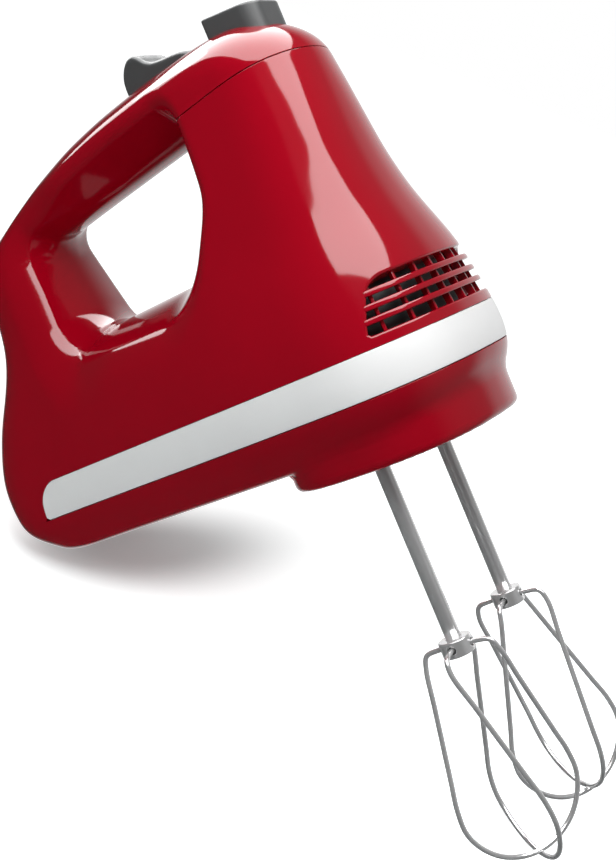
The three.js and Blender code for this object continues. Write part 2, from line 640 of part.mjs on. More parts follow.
// Rod under the button, with a cross bar whose two pins reach down into the spindles.
function ejectorYoke() {
  const flangeLow = EJECTOR_LOW_Z - GAP - FLANGE_HEIGHT;
  const stem = turned([
    [0, YOKE_LOW_Z + 1], [EJECTOR_ROD_RADIUS, YOKE_LOW_Z + 1], [EJECTOR_ROD_RADIUS, flangeLow],
    [FLANGE_RADIUS, flangeLow], [FLANGE_RADIUS, flangeLow + FLANGE_HEIGHT],
    [0, flangeLow + FLANGE_HEIGHT],
  ], 16).translate(EJECTOR_ROD_X, 0, 0);
  const reach = SPINDLE_SPACING / 2 + YOKE_MARGIN;
  const bar = block(
    -YOKE_MARGIN, EJECTOR_ROD_X + YOKE_MARGIN, -reach, reach, YOKE_LOW_Z, YOKE_HIGH_Z);
  const pins = [-1, 1].map((side) => rod(SHAFT_RADIUS - GAP, SHAFT_TOP_Z + GAP, YOKE_LOW_Z + 1, 12)
    .translate(0, (side * SPINDLE_SPACING) / 2, 0));
  return join(bar, stem, ...pins);
}

function ejectorGuide() {
  const plate = levelLoft([GUIDE_LOW_Z, GUIDE_HIGH_Z], WALL + GAP)
    .intersect(block(OPENING_FRONT_X + WALL + GAP, NOSE_X, -HALF_WIDTH, HALF_WIDTH, 0, TOP_Z));
  return cut(plate, rod(EJECTOR_ROD_RADIUS + GAP, 0, TOP_Z, 16).translate(EJECTOR_ROD_X, 0, 0));
}

// Closed tube along a curve.
function wire(curve, radius, steps, sides) {
  const section = new THREE.Shape();
  for (let i = 0; i < sides; i += 1) {
    const angle = (2 * Math.PI * i) / sides;
    const [u, v] = [radius * Math.cos(angle), radius * Math.sin(angle)];
    if (i === 0) section.moveTo(u, v);
    else section.lineTo(u, v);
  }
  return solid(new THREE.ExtrudeGeometry(section, { steps, extrudePath: curve, bevelEnabled: false }));
}

class Helix extends THREE.Curve {
  constructor(radius, low, high, turns) {
    super();
    Object.assign(this, { radius, low, high, turns });
  }

  getPoint(t, target = new THREE.Vector3()) {
    const angle = 2 * Math.PI * this.turns * t;
    const z = THREE.MathUtils.lerp(this.low, this.high, t);
    return target.set(this.radius * Math.cos(angle), this.radius * Math.sin(angle), z);
  }
}

function ejectorSpring() {
  const low = GUIDE_HIGH_Z + GAP + SPRING_WIRE_RADIUS;
  const high = EJECTOR_LOW_Z - 2 * GAP - FLANGE_HEIGHT - SPRING_WIRE_RADIUS;
  return wire(new Helix(SPRING_RADIUS, low, high, 4.5), SPRING_WIRE_RADIUS, 42, 4)
    .translate(EJECTOR_ROD_X, 0, 0);
}

// Thumb slider: tall at the rear, scooped for the thumb, with a low ramp in front.
function speedSlider() {
  const rear = SLIDER_REAR_X;
  const front = rear + SLIDER_LENGTH;
  const [low, top] = [TRACK_FLOOR_Z + GAP, SLIDER_TOP_Z];
  const side = new THREE.Shape();
  side.moveTo(rear, low);
  side.lineTo(front, low);
  side.lineTo(front, top - 10.6);
  side.quadraticCurveTo(front - 2, top - 8.2, front - 5.2, top - 7.8);
  side.lineTo(front - 12, top - 6.9);
  side.bezierCurveTo(front - 17, top - 6.4, rear + 12, top - 3.4, rear + 10, top - 0.6);
  side.quadraticCurveTo(rear + 8, top + 0.6, rear + 5.6, top - 0.4);
  side.quadraticCurveTo(rear + 2.2, top - 2.6, rear + 0.6, top - 7);
  const plan = shapeOf(rounded([
    [rear, -SLIDER_HALF_WIDTH, 2], [front, -SLIDER_HALF_WIDTH, 8],
    [front, SLIDER_HALF_WIDTH, 8], [rear, SLIDER_HALF_WIDTH, 2],
  ]));
  const body = alongY(side, -SLIDER_HALF_WIDTH - 1, SLIDER_HALF_WIDTH + 1);
  return body.intersect(alongZ(plan, low - 1, top + 1));
}

const LINK_THICKNESS = 2;
const PLATE_HALF_WIDTH = 7;
const SWITCH_HALF_WIDTH = 9;
const SWITCH_HEIGHT = 11;

// Stem through the slot, with the contact plate under the track bed.
function sliderLink() {
  const under = TRACK_FLOOR_Z - TRACK_WALL - GAP;
  const stem = block(
    STEM_X - STEM_LENGTH / 2, STEM_X + STEM_LENGTH / 2, -STEM_WIDTH / 2, STEM_WIDTH / 2,
    under - 1, TRACK_FLOOR_Z);
  const plate = block(
    STEM_X - PLATE_HALF_WIDTH, STEM_X + PLATE_HALF_WIDTH, -PLATE_HALF_WIDTH, PLATE_HALF_WIDTH,
    under - LINK_THICKNESS, under);
  return join(stem, plate);
}

// Switch body lying on the handle's floor, under the whole run of the contact plate.
function speedSwitch() {
  const high = TRACK_FLOOR_Z - TRACK_WALL - 2 * GAP - LINK_THICKNESS;
  return block(
    STEM_X - SWITCH_HALF_WIDTH - SLIDER_TRAVEL, STEM_X + SWITCH_HALF_WIDTH,
    -SWITCH_HALF_WIDTH, SWITCH_HALF_WIDTH, high - SWITCH_HEIGHT, high);
}

// ---------------------------------------------------------------- drive
const TOOTH_PITCH = (2 * Math.PI * (SPINDLE_SPACING / 2 - WORM_PITCH_RADIUS)) / WHEEL_TEETH;
const WHEEL_PITCH_RADIUS = SPINDLE_SPACING / 2 - WORM_PITCH_RADIUS;
const PRESSURE_SLOPE = Math.tan(rad(20));

// Half thickness of a tooth or thread at a height above its pitch line.
const toothHalf = (height) => (TOOTH_PITCH * TOOTH_FILL) / 2 - height * PRESSURE_SLOPE;

// Helical wheel standing on Z at the origin; phase turns a tooth away from straight across.
function wormWheel(phase) {
  const twist = TOOTH_PITCH / (2 * Math.PI * WORM_PITCH_RADIUS * WHEEL_PITCH_RADIUS);
  const flank = [-TOOTH_DEDENDUM, TOOTH_ADDENDUM];
  const ring = (z) => {
    const points = [];
    for (let tooth = 0; tooth < WHEEL_TEETH; tooth += 1) {
      const middle = (2 * Math.PI * tooth) / WHEEL_TEETH + phase + twist * z;
      const sides = [...flank.map((h) => [h, -1]), ...flank.toReversed().map((h) => [h, 1])];
      for (const [height, side] of sides) {
        const radius = WHEEL_PITCH_RADIUS + height;
        const angle = middle + (side * toothHalf(height)) / radius;
        points.push(new THREE.Vector3(radius * Math.cos(angle), radius * Math.sin(angle), z));
      }
    }
    return points;
  };
  const blank = loft([ring(-WHEEL_FACE / 2), ring(WHEEL_FACE / 2)]);
  const bore = rod(SPINDLE_RADIUS + GAP, -WHEEL_FACE, WHEEL_FACE, 24);
  const recess = tube(SPINDLE_RADIUS + 2, WHEEL_PITCH_RADIUS - 3, WHEEL_FACE / 2 - 2, WHEEL_FACE, 24);
  return cut(blank, bore, recess);
}

const WORM_CORE_RADIUS = WORM_PITCH_RADIUS - TOOTH_DEDENDUM;
const FRONT_BEARING_X = 20;
const BEARING_LENGTH = 6;
const MIDDLE_BEARING_X = -27;

// Single-start thread, wound as a loft of its section round the shaft.
function wormThread() {
  const rings = [];
  const stepsPerTurn = 10;
  const total = WORM_TURNS * stepsPerTurn;
  for (let i = 0; i <= total; i += 1) {
    const angle = (2 * Math.PI * i) / stepsPerTurn;
    const along = TOOTH_PITCH * (i / stepsPerTurn - WORM_TURNS / 2);
    const end = Math.min(i, total - i) < 3 ? Math.min(i, total - i) / 3 : 1;
    const tip = THREE.MathUtils.lerp(-TOOTH_DEDENDUM + 0.1, TOOTH_ADDENDUM, end);
    const section = [[-TOOTH_DEDENDUM - 0.5, -1], [tip, -1], [tip, 1], [-TOOTH_DEDENDUM - 0.5, 1]];
    rings.push(section.map(([height, side]) => {
      const radius = WORM_PITCH_RADIUS + height;
      const x = along + side * toothHalf(height);
      return new THREE.Vector3(x, radius * Math.cos(angle), radius * Math.sin(angle));
    }));
  }
  return loft(rings);
}

function motorShaft() {
  const wormHalf = (TOOTH_PITCH * WORM_TURNS) / 2 + 1.5;
  const core = turnedAlongX([
    [0, REAR_BEARING_X - BEARING_LENGTH], [MOTOR_SHAFT_RADIUS, REAR_BEARING_X - BEARING_LENGTH],
    [MOTOR_SHAFT_RADIUS, -wormHalf], [WORM_CORE_RADIUS, -wormHalf], [WORM_CORE_RADIUS, wormHalf],
    [MOTOR_SHAFT_RADIUS, wormHalf], [MOTOR_SHAFT_RADIUS, FRONT_BEARING_X + BEARING_LENGTH],
    [0, FRONT_BEARING_X + BEARING_LENGTH],
  ], 16);
  return join(core, wormThread());
}

const BUSH_RADIUS = 7.5;
const SPINDLE_BUSH_LOW_Z = 5;
const FRAME_LOW_Z = 20;
const FRAME_HIGH_Z = 23;
const BEARING_RADIUS = 6;

function gearFrame() {
  const frontEnd = FRONT_BEARING_X + BEARING_LENGTH;
  const plate = alongZ(
    shapeOf(roundedBox(MIDDLE_BEARING_X, frontEnd, CHIN_HALF_WIDTH - 3, 12)), FRAME_LOW_Z, FRAME_HIGH_Z);
  const bosses = [-1, 1].map((side) => rod(BUSH_RADIUS + GAP + 2.2, WALL + GAP, FRAME_HIGH_Z)
    .translate(0, (side * SPINDLE_SPACING) / 2, 0));
  const bores = [-1, 1].map((side) => rod(BUSH_RADIUS + GAP, 0, FRAME_HIGH_Z + 1)
    .translate(0, (side * SPINDLE_SPACING) / 2, 0));
  const posts = [MIDDLE_BEARING_X, FRONT_BEARING_X].map((x) => alongX(shapeOf(rounded([
    [-10, FRAME_LOW_Z + 1, 0], [10, FRAME_LOW_Z + 1, 0], [9, MOTOR_Z + 9, 6], [-9, MOTOR_Z + 9, 6],
  ])), x, x + BEARING_LENGTH));
  const tunnel = rodAlongX(BEARING_RADIUS + GAP, MIDDLE_BEARING_X - 5, frontEnd + 5)
    .translate(0, 0, MOTOR_Z);
  return cut(join(plate, ...bosses, ...posts), ...bores, tunnel);
}

function spindleBush() {
  const high = FRAME_HIGH_Z + 1.5;
  return turned([
    [SPINDLE_RADIUS + GAP, SPINDLE_BUSH_LOW_Z], [BUSH_RADIUS, SPINDLE_BUSH_LOW_Z],
    [BUSH_RADIUS, FRAME_HIGH_Z + GAP], [BUSH_RADIUS + 1.5, FRAME_HIGH_Z + GAP],
    [BUSH_RADIUS + 1.5, high], [SPINDLE_RADIUS + GAP, high],
    [SPINDLE_RADIUS + GAP, SPINDLE_BUSH_LOW_Z],
  ]);
}

const LUG_LOW_Z = 4;
const LUG_HIGH_Z = 9;
const LUG_REACH = 4.6;
const LUG_WIDTH = 1.8;

// Hollow spindle: a shoulder carries the wheel, and a slot across its mouth drives the beater.
function driveSpindle() {
  const shoulderHigh = MOTOR_Z - WHEEL_FACE / 2 - GAP;
  const shoulderLow = FRAME_HIGH_Z + 1.5 + GAP;
  const bore = SHAFT_RADIUS + GAP;
  const body = turned([
    [bore, SPINDLE_LOW_Z], [SPINDLE_RADIUS, SPINDLE_LOW_Z], [SPINDLE_RADIUS, shoulderLow],
    [BUSH_RADIUS, shoulderLow], [BUSH_RADIUS, shoulderHigh], [SPINDLE_RADIUS, shoulderHigh],
    [SPINDLE_RADIUS, SPINDLE_HIGH_Z], [bore, SPINDLE_HIGH_Z], [bore, SPINDLE_LOW_Z],
  ]);
  const half = LUG_WIDTH / 2 + GAP;
  const slot = block(
    -LUG_REACH - GAP, LUG_REACH + GAP, -half, half, SPINDLE_LOW_Z - 1, LUG_HIGH_Z + GAP);
  return cut(body, slot);
}

// ---------------------------------------------------------------- motor
const shaftBearing = () => tubeAlongX(
  MOTOR_SHAFT_RADIUS + GAP, BEARING_RADIUS, GAP, BEARING_LENGTH - GAP, 16);

const FAN_LENGTH = 8;
const FAN_HUB_RADIUS = 7;
const FAN_SHEET = 1.3;
const FAN_BLADES = 9;

// Hub and disc with straight blades standing on the disc.
function coolingFan() {
  const bore = MOTOR_SHAFT_RADIUS + GAP;
  const half = FAN_LENGTH / 2;
  const hub = tubeAlongX(bore, FAN_HUB_RADIUS, -half, half, 16);
  const disc = tubeAlongX(bore, FAN_RADIUS, -half, -half + FAN_SHEET, 24);
  const blades = [];
  for (let i = 0; i < FAN_BLADES; i += 1) {
    blades.push(block(
      -half + FAN_SHEET / 2, half, FAN_HUB_RADIUS - 1, FAN_RADIUS - 1, -FAN_SHEET / 2, FAN_SHEET / 2)
      .rotate([(360 * i) / FAN_BLADES, 0, 0]));
  }
  return join(hub, disc, ...blades);
}

// Round stack along X with open slots in its rim.
function slottedStack(radius, slotDepth, slotWidth, slots, length, bore) {
  const body = tubeAlongX(bore, radius, -length / 2, length / 2, 3 * slots);
  const cuts = [];
  for (let i = 0; i < slots; i += 1) {
    cuts.push(block(
      -length, length, radius - slotDepth, radius + 2, -slotWidth / 2, slotWidth / 2)
      .rotate([(360 * (i + 0.5)) / slots, 0, 0]));
  }
  return cut(body, ...cuts);
}

const ROTOR_SLOTS = 10;
const ROTOR_SLOT_DEPTH = 5;
const ROTOR_SLOT_WIDTH = 2.4;
const armatureCore = () => slottedStack(
  ROTOR_RADIUS, ROTOR_SLOT_DEPTH, ROTOR_SLOT_WIDTH, ROTOR_SLOTS, ROTOR_LENGTH, MOTOR_SHAFT_RADIUS + GAP);

const COMMUTATOR_LENGTH = 10;
const COMMUTATOR_BARS = 12;
const BAR_SPLIT = 0.8;
const commutator = () => slottedStack(
  COMMUTATOR_RADIUS, 1, BAR_SPLIT, COMMUTATOR_BARS, COMMUTATOR_LENGTH, MOTOR_SHAFT_RADIUS + GAP);

const WINDING_LENGTH = 7;
const windingEnd = () => turnedAlongX([
  [MOTOR_SHAFT_RADIUS + GAP, 0], [ROTOR_RADIUS - 2.5, 0], [ROTOR_RADIUS - 2, WINDING_LENGTH * 0.5],
  [ROTOR_RADIUS - 5, WINDING_LENGTH], [MOTOR_SHAFT_RADIUS + GAP, WINDING_LENGTH],
  [MOTOR_SHAFT_RADIUS + GAP, 0],
]);

const AIR_GAP = 0.8;
const COIL_LOW = 13;
const COIL_HIGH = 18.5;
const COIL_INNER = 10.5;
const COIL_WIDTH = 7.4;

function statorCore() {
  const half = ROTOR_LENGTH / 2;
  const frame = alongX(shapeOf(rounded([
    [-STATOR_WIDTH / 2, -STATOR_HEIGHT / 2, 6], [STATOR_WIDTH / 2, -STATOR_HEIGHT / 2, 6],
    [STATOR_WIDTH / 2, STATOR_HEIGHT / 2, 6], [-STATOR_WIDTH / 2, STATOR_HEIGHT / 2, 6],
  ], 3)), -half, half);
  const bore = rodAlongX(ROTOR_RADIUS + AIR_GAP, -half - 1, half + 1, 28);
  const windows = [-1, 1].flatMap((up) => [-1, 1].map((side) => {
    const [y0, y1] = [COIL_INNER - GAP, COIL_INNER + COIL_WIDTH + GAP];
    const [z0, z1] = [COIL_LOW - GAP, COIL_HIGH + GAP];
    return block(
      -half - 1, half + 1, side > 0 ? y0 : -y1, side > 0 ? y1 : -y0, up > 0 ? z0 : -z1, up > 0 ? z1 : -z0);
  }));
  return cut(frame, bore, ...windows);
}

// Rectangular field coil wound round one pole.
function fieldCoil() {
  const reach = ROTOR_LENGTH / 2 + GAP;
  const outer = roundedBox(-reach - COIL_WIDTH + 2, reach + COIL_WIDTH - 2, COIL_INNER + COIL_WIDTH, 3);
  const body = alongZ(shapeOf(outer), COIL_LOW, COIL_HIGH);
  return cut(body, block(-reach, reach, -COIL_INNER, COIL_INNER, COIL_LOW - 1, COIL_HIGH + 1));
}

const BRUSH_REACH = 22;
const BRUSH_HALF = 3.5;

function brushHolder(side) {
  const inner = COMMUTATOR_RADIUS + GAP;
  const [y0, y1] = side > 0 ? [inner, BRUSH_REACH] : [-BRUSH_REACH, -inner];
  return block(-BRUSH_HALF, BRUSH_HALF, y0, y1, -BRUSH_HALF, BRUSH_HALF);
}

// Upright plate behind the motor that carries the rear bearing and both brush holders.
function rearBracket() {
  const foot = BASE_Z + WALL + GAP;
  const rearEnd = REAR_BEARING_X - BEARING_LENGTH;
  const armWidth = 3;
  const outline = rounded([
    [-BRUSH_REACH - armWidth, foot, 0], [BRUSH_REACH + armWidth, foot, 0],
    [BRUSH_REACH + armWidth, MOTOR_Z + 6, 8], [10, MOTOR_Z + 14, 6], [-10, MOTOR_Z + 14, 6],
    [-BRUSH_REACH - armWidth, MOTOR_Z + 6, 8],
  ]);
  const plate = alongX(shapeOf(outline), rearEnd, REAR_BEARING_X);
  const arms = [-1, 1].map((side) => {
    const y = side * (BRUSH_REACH + GAP + (armWidth - GAP) / 2);
    const half = (armWidth - GAP) / 2;
    return block(
      REAR_BEARING_X - 1, COMMUTATOR_X + BRUSH_HALF, y - half, y + half, MOTOR_Z - 5, MOTOR_Z + 5);
  });
  const seat = rodAlongX(BEARING_RADIUS + GAP, rearEnd - 1, REAR_BEARING_X + 1).translate(0, 0, MOTOR_Z);
  return cut(join(plate, ...arms), seat);
}

// Round cord inlet with a flange inside the rear wall.
const GLAND_PROUD = 1.5;
const CORD_BORE = 3.6;
function cordGland() {
  return turnedAlongX([
    [CORD_BORE, -GLAND_PROUD], [GLAND_RADIUS - 1, -GLAND_PROUD], [GLAND_RADIUS, -GLAND_PROUD + 1],
    [GLAND_RADIUS, 12], [CORD_BORE, 12], [CORD_BORE, -GLAND_PROUD],
  ]);
}

// ---------------------------------------------------------------- beaters
function beaterShaft() {
  const collarLow = COLLAR_TOP_Z - COLLAR_HEIGHT;
  const body = turned([
    [0, collarLow - 0.6], [SHAFT_RADIUS, collarLow - 0.6], [SHAFT_RADIUS, SHAFT_TOP_Z - 1],
    [SHAFT_RADIUS - 1, SHAFT_TOP_Z], [0, SHAFT_TOP_Z],
  ]);
  const lug = block(-LUG_REACH, LUG_REACH, -LUG_WIDTH / 2, LUG_WIDTH / 2, LUG_LOW_Z, LUG_HIGH_Z);
  return join(body, lug);
}

const WIRE_EXIT_Z = COLLAR_TOP_Z - COLLAR_HEIGHT / 2;
const WIRE_ROOT_RADIUS = SHAFT_RADIUS + 0.9;

function beaterCollar() {
  const low = COLLAR_TOP_Z - COLLAR_HEIGHT;
  const body = turned([
    [SHAFT_RADIUS + GAP, low], [COLLAR_RADIUS, low],
    [COLLAR_RADIUS, COLLAR_TOP_Z - 0.5], [COLLAR_RADIUS - 0.5, COLLAR_TOP_Z],
    [SHAFT_RADIUS + GAP, COLLAR_TOP_Z], [SHAFT_RADIUS + GAP, low],
  ]);
  const holes = [0, 90].map((angle) => rodAlongX(WIRE_RADIUS + 1.7 * GAP, -10, 10, 6)
    .rotate([0, 0, angle + LOOP_START]).translate(0, 0, WIRE_EXIT_Z));
  return cut(body, ...holes);
}

// One wire loop: out of the collar, over a tight shoulder, down a straight slanted leg, round
// under the axis and up the other side. The second loop of a beater hangs one wire lower.
function beaterLoop(hand, startAngle, lower) {
  const drop = lower ? 2 * WIRE_RADIUS + GAP : 0;
  const bottom = WIRE_EXIT_Z - LOOP_DEPTH - drop;
  const widest = WIRE_EXIT_Z - LOOP_WIDEST_DROP - drop;
  const place = (radius, z, turn) => {
    const angle = rad(LOOP_START + hand * turn + startAngle);
    return new THREE.Vector3(radius * Math.cos(angle), radius * Math.sin(angle), z);
  };
  const top = place(LOOP_SHOULDER_RADIUS, WIRE_EXIT_Z - LOOP_SHOULDER_DROP, 2);
  const foot = place(LOOP_RADIUS, widest, LOOP_TWIST);
  const half = [
    place(WIRE_ROOT_RADIUS, WIRE_EXIT_Z, 0), place(COLLAR_RADIUS + 1.5, WIRE_EXIT_Z, 0),
    place(LOOP_SHOULDER_RADIUS - 1.8, WIRE_EXIT_Z - 0.9, 0),
    ...[0, 0.35, 0.7, 0.95].map((along) => top.clone().lerp(foot, along)),
    ...[14, 38, 64].map((angle) => place(
      LOOP_RADIUS * Math.cos(rad(angle)), widest - (widest - bottom) * Math.sin(rad(angle)), LOOP_TWIST)),
  ];
  const other = half.toReversed().map((point) => new THREE.Vector3(-point.x, -point.y, point.z));
  const path = [...half, new THREE.Vector3(0, 0, bottom), ...other];
  return wire(new THREE.CatmullRomCurve3(path, false, 'centripetal'), WIRE_RADIUS, 34, 6);
}

// ---------------------------------------------------------------- finishes and assembly
function finish(color, roughness, metalness) {
  return new THREE.MeshStandardMaterial({ color, roughness, metalness });
}

const redPlastic = finish(0xa8001f, 0.18, 0);
const bandPlastic = finish(0xd9dadb, 0.35, 0);
const charcoalPlastic = finish(0x46484a, 0.45, 0);
const blackPlastic = finish(0x1d1e20, 0.5, 0);
const whiteNylon = finish(0xe6e3d8, 0.5, 0);
const polishedSteel = finish(0xc9cbcd, 0.2, 1);
const laminatedSteel = finish(0x70757a, 0.5, 1);
const bronze = finish(0xa9814a, 0.4, 1);
const copper = finish(0xb3623a, 0.35, 1);
const boardGreen = finish(0x2c5a3c, 0.6, 0);

const mixer = new THREE.Group();

function add(name, body, material, parent = mixer) {
  const mesh = new THREE.Mesh(geometryOf(body), material);
  mesh.name = name;
  parent.add(mesh);
  return mesh;
}

add('main_housing', mainHousing(), redPlastic);
add('top_cover', topCover(), redPlastic);
add('lower_base', lowerBase(), redPlastic);
add('vent_grille', ventGrille(), redPlastic);
add('trim_band', trimBand(), bandPlastic);

add('ejector_button', ejectorButton(), charcoalPlastic);
add('ejector_yoke', ejectorYoke(), whiteNylon);
add('ejector_guide', ejectorGuide(), blackPlastic);
add('ejector_spring', ejectorSpring(), polishedSteel);
add('speed_slider', speedSlider(), charcoalPlastic);
add('slider_link', sliderLink(), blackPlastic);
add('speed_switch', speedSwitch(), boardGreen);

// Everything on the motor's line is placed along X at the height of the shaft.
const motor = new THREE.Group();
motor.position.z = MOTOR_Z;
mixer.add(motor);
add('motor_shaft', motorShaft(), polishedSteel, motor);
add('cooling_fan', coolingFan(), blackPlastic, motor).position.x = FAN_X;
add('armature_core', armatureCore(), laminatedSteel, motor).position.x = ROTOR_X;
const windingOffset = ROTOR_LENGTH / 2 + GAP;
add('armature_winding_front', windingEnd(), copper, motor).position.x = ROTOR_X + windingOffset;
const rearWinding = add('armature_winding_rear', windingEnd(), copper, motor);
rearWinding.position.x = ROTOR_X - windingOffset;
rearWinding.rotation.z = Math.PI;
add('commutator', commutator(), copper, motor).position.x = COMMUTATOR_X;
add('stator_core', statorCore(), laminatedSteel, motor).position.x = ROTOR_X;
const upperCoil = add('field_coil_upper', fieldCoil(), copper, motor);
upperCoil.position.x = ROTOR_X;
const lowerCoil = add('field_coil_lower', fieldCoil(), copper, motor);
lowerCoil.position.x = ROTOR_X;
lowerCoil.rotation.x = Math.PI;
for (const [name, x] of [['front', FRONT_BEARING_X], ['middle', MIDDLE_BEARING_X],
  ['rear', REAR_BEARING_X - BEARING_LENGTH]]) {
  add(`${name}_bearing`, shaftBearing(), bronze, motor).position.x = x;
}
for (const [name, side] of [['left', 1], ['right', -1]]) {
  add(`brush_holder_${name}`, brushHolder(side), bronze, motor).position.x = COMMUTATOR_X;
}
add('rear_bracket', rearBracket(), blackPlastic);
add('gear_frame', gearFrame(), whiteNylon);
add('cord_gland', cordGland(), blackPlastic).position.set(tailAt(GLAND_Z), 0, GLAND_Z);

// The two drive lines stand side by side. The beaters twist opposite ways from the same start
// angle, so their wires stay out of step and pass between each other as they turn.
for (const [name, side] of [['left', 1], ['right', -1]]) {
  const line = new THREE.Group();
  line.position.y = (side * SPINDLE_SPACING) / 2;
  mixer.add(line);
  const across = side > 0 ? rad(-90) + Math.PI / WHEEL_TEETH : rad(90);
  add(`worm_wheel_${name}`, wormWheel(across), whiteNylon, line).position.z = MOTOR_Z;
  add(`spindle_${name}`, driveSpindle(), polishedSteel, line);
  add(`spindle_bush_${name}`, spindleBush(), bronze, line);
  add(`beater_shaft_${name}`, beaterShaft(), polishedSteel, line);
  add(`beater_collar_${name}`, beaterCollar(), polishedSteel, line);
  add(`beater_loop_a_${name}`, beaterLoop(-side, 0, false), polishedSteel, line);
  add(`beater_loop_b_${name}`, beaterLoop(-side, 90, true), polishedSteel, line);
}

export default mixer;
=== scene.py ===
"""Looks of the hand mixer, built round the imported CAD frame.

The red shells, the band and the buttons are skins of smooth fields: functions that are negative inside
a form and roughly count millimetres outside it. Fields, paths and outlines are in millimetres in the
part's own frame, and become metres when their mesh is made.
"""

import json
import math

import bpy
import numpy as np
from mathutils import Matrix, Vector

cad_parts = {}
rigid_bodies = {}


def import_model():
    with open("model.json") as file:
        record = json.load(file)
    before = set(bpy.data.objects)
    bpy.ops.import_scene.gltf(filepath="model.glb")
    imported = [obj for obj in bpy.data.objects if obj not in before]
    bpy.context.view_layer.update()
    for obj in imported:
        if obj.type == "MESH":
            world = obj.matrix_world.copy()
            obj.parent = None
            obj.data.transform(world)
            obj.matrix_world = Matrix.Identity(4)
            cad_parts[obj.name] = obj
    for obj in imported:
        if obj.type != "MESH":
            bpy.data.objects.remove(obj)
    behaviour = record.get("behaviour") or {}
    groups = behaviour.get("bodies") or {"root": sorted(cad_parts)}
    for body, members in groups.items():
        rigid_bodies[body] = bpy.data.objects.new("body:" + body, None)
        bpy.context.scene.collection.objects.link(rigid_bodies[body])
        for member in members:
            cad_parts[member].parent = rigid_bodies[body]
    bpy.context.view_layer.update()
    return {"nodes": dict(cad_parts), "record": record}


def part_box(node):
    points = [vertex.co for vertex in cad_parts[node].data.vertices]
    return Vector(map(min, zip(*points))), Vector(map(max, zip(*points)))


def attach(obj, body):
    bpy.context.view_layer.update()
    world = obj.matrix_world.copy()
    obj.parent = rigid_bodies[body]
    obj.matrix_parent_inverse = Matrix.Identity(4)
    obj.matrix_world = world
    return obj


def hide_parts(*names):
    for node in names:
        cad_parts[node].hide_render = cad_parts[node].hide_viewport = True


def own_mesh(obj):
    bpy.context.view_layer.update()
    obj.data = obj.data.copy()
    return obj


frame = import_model()
MM = 0.001

# ---------------------------------------------------------------- driving sizes, in millimetres
GAP = 0.3
NOSE_X, HEEL_X = 41.0, -162.6
HALF_WIDTH, TOWER_HALF_WIDTH = 44.5, 26.0
BASE_Z, BAND_LOW, BAND_HIGH, TOP_Z = 7.0, 21.5, 35.0, 147.4
TAIL_NARROWING = 0.16
NOSE_ROUNDING, TAIL_ROUNDING, TAIL_ROUNDING_HIGH = 42.0, 27.0, 19.0
CROWN_DEPTH = 16.0
SEAM_FRONT_Z, SEAM_FRONT_SLOPE = 127.3, 0.09
SEAM_REAR_Z, SEAM_REAR_SLOPE, HANDLE_SEAM_Z = 112.4, 0.13, 106.0

OPENING_FRONT_X, OPENING_REAR_X, OPENING_LEAN = -20.0, -101.5, 6.5
OPENING_FLOOR_Z, OPENING_FLOOR_DROP, OPENING_FLOOR_REACH = 78.5, 14.0, 36.0
OPENING_REAR_CROWN, OPENING_REAR_REACH = 6.0, 27.0
OPENING_LOW_FRONT_RADIUS, OPENING_LOW_REAR_RADIUS = 30.0, 11.0
OPENING_HIGH_FRONT_RADIUS, OPENING_HIGH_REAR_RADIUS = 9.0, 8.0
RIM_RADIUS, RIM_REAR_RADIUS = 4.5, 10.5
HANDLE_UNDER_FRONT_Z, HANDLE_UNDER_REAR_Z = 122.5, 115.0
HANDLE_UNDER_HALF_WIDTH, HANDLE_CREST_DROP = 5.0, 11.5
HANDLE_SEAM_FRONT_X = OPENING_FRONT_X - 0.6
HANDLE_SEAM_REAR_X = OPENING_REAR_X - OPENING_LEAN + 2

BAND_REAR_X, BAND_END_LEAN, BAND_END_RADIUS = -130.5, 4.0, 8.5
VENT_LOW_Z, VENT_HIGH_Z, VENT_REAR_X, VENT_SLOPE = 38.6, 54.6, 24.0, 3.4
SLOT_COUNT, SLAT_DEPTH, SLAT_HALF_HEIGHT, SLAT_ROUNDING = 4, 2.6, 0.95, 0.55
RIB_ANGLES, RIB_HALF_WIDTH, RIB_ROUNDING, RIB_DEPTH = (7, 21, 35, 49), 0.5, 0.25, 5.0
RIB_CURVE_RADIUS = 38.0
CHIN_FRONT_X, CHIN_REAR_X, CHIN_HALF_WIDTH, CHIN_EDGE = 36.5, -38.0, 37.0, 2.4
TRAY_EDGE, CHIN_TOP_EDGE, CHIN_FILLET = 2.5, 2.0, 1.6

EJECTOR_REAR_X, EJECTOR_FRONT_X, EJECTOR_HALF_WIDTH = -6.0, 14.5, 10.0
EJECTOR_TOP_Z, EJECTOR_LOW_Z, EJECTOR_SLOPE = 153.4, 134.0, 0.15
EJECTOR_FRONT_RADIUS, EJECTOR_REAR_RADIUS = 6.0, 1.5
PAD_MIDDLE_X, PAD_HALF_LENGTH, PAD_HALF_WIDTH, PAD_HEIGHT, PAD_DISH = 3.2, 6.4, 7.4, 0.5, 1.5
SLIDER_REAR_X, SLIDER_LENGTH, SLIDER_HALF_WIDTH = -45.7, 33.0, 8.5
SLIDER_TOP_Z, SLIDER_TRAVEL, TRACK_FLOOR_Z = 157.0, 18.0, 142.6
TRACK_CLEARANCE, TRACK_RADIUS, TRACK_CUT_Z = 0.6, 4.0, 132.0

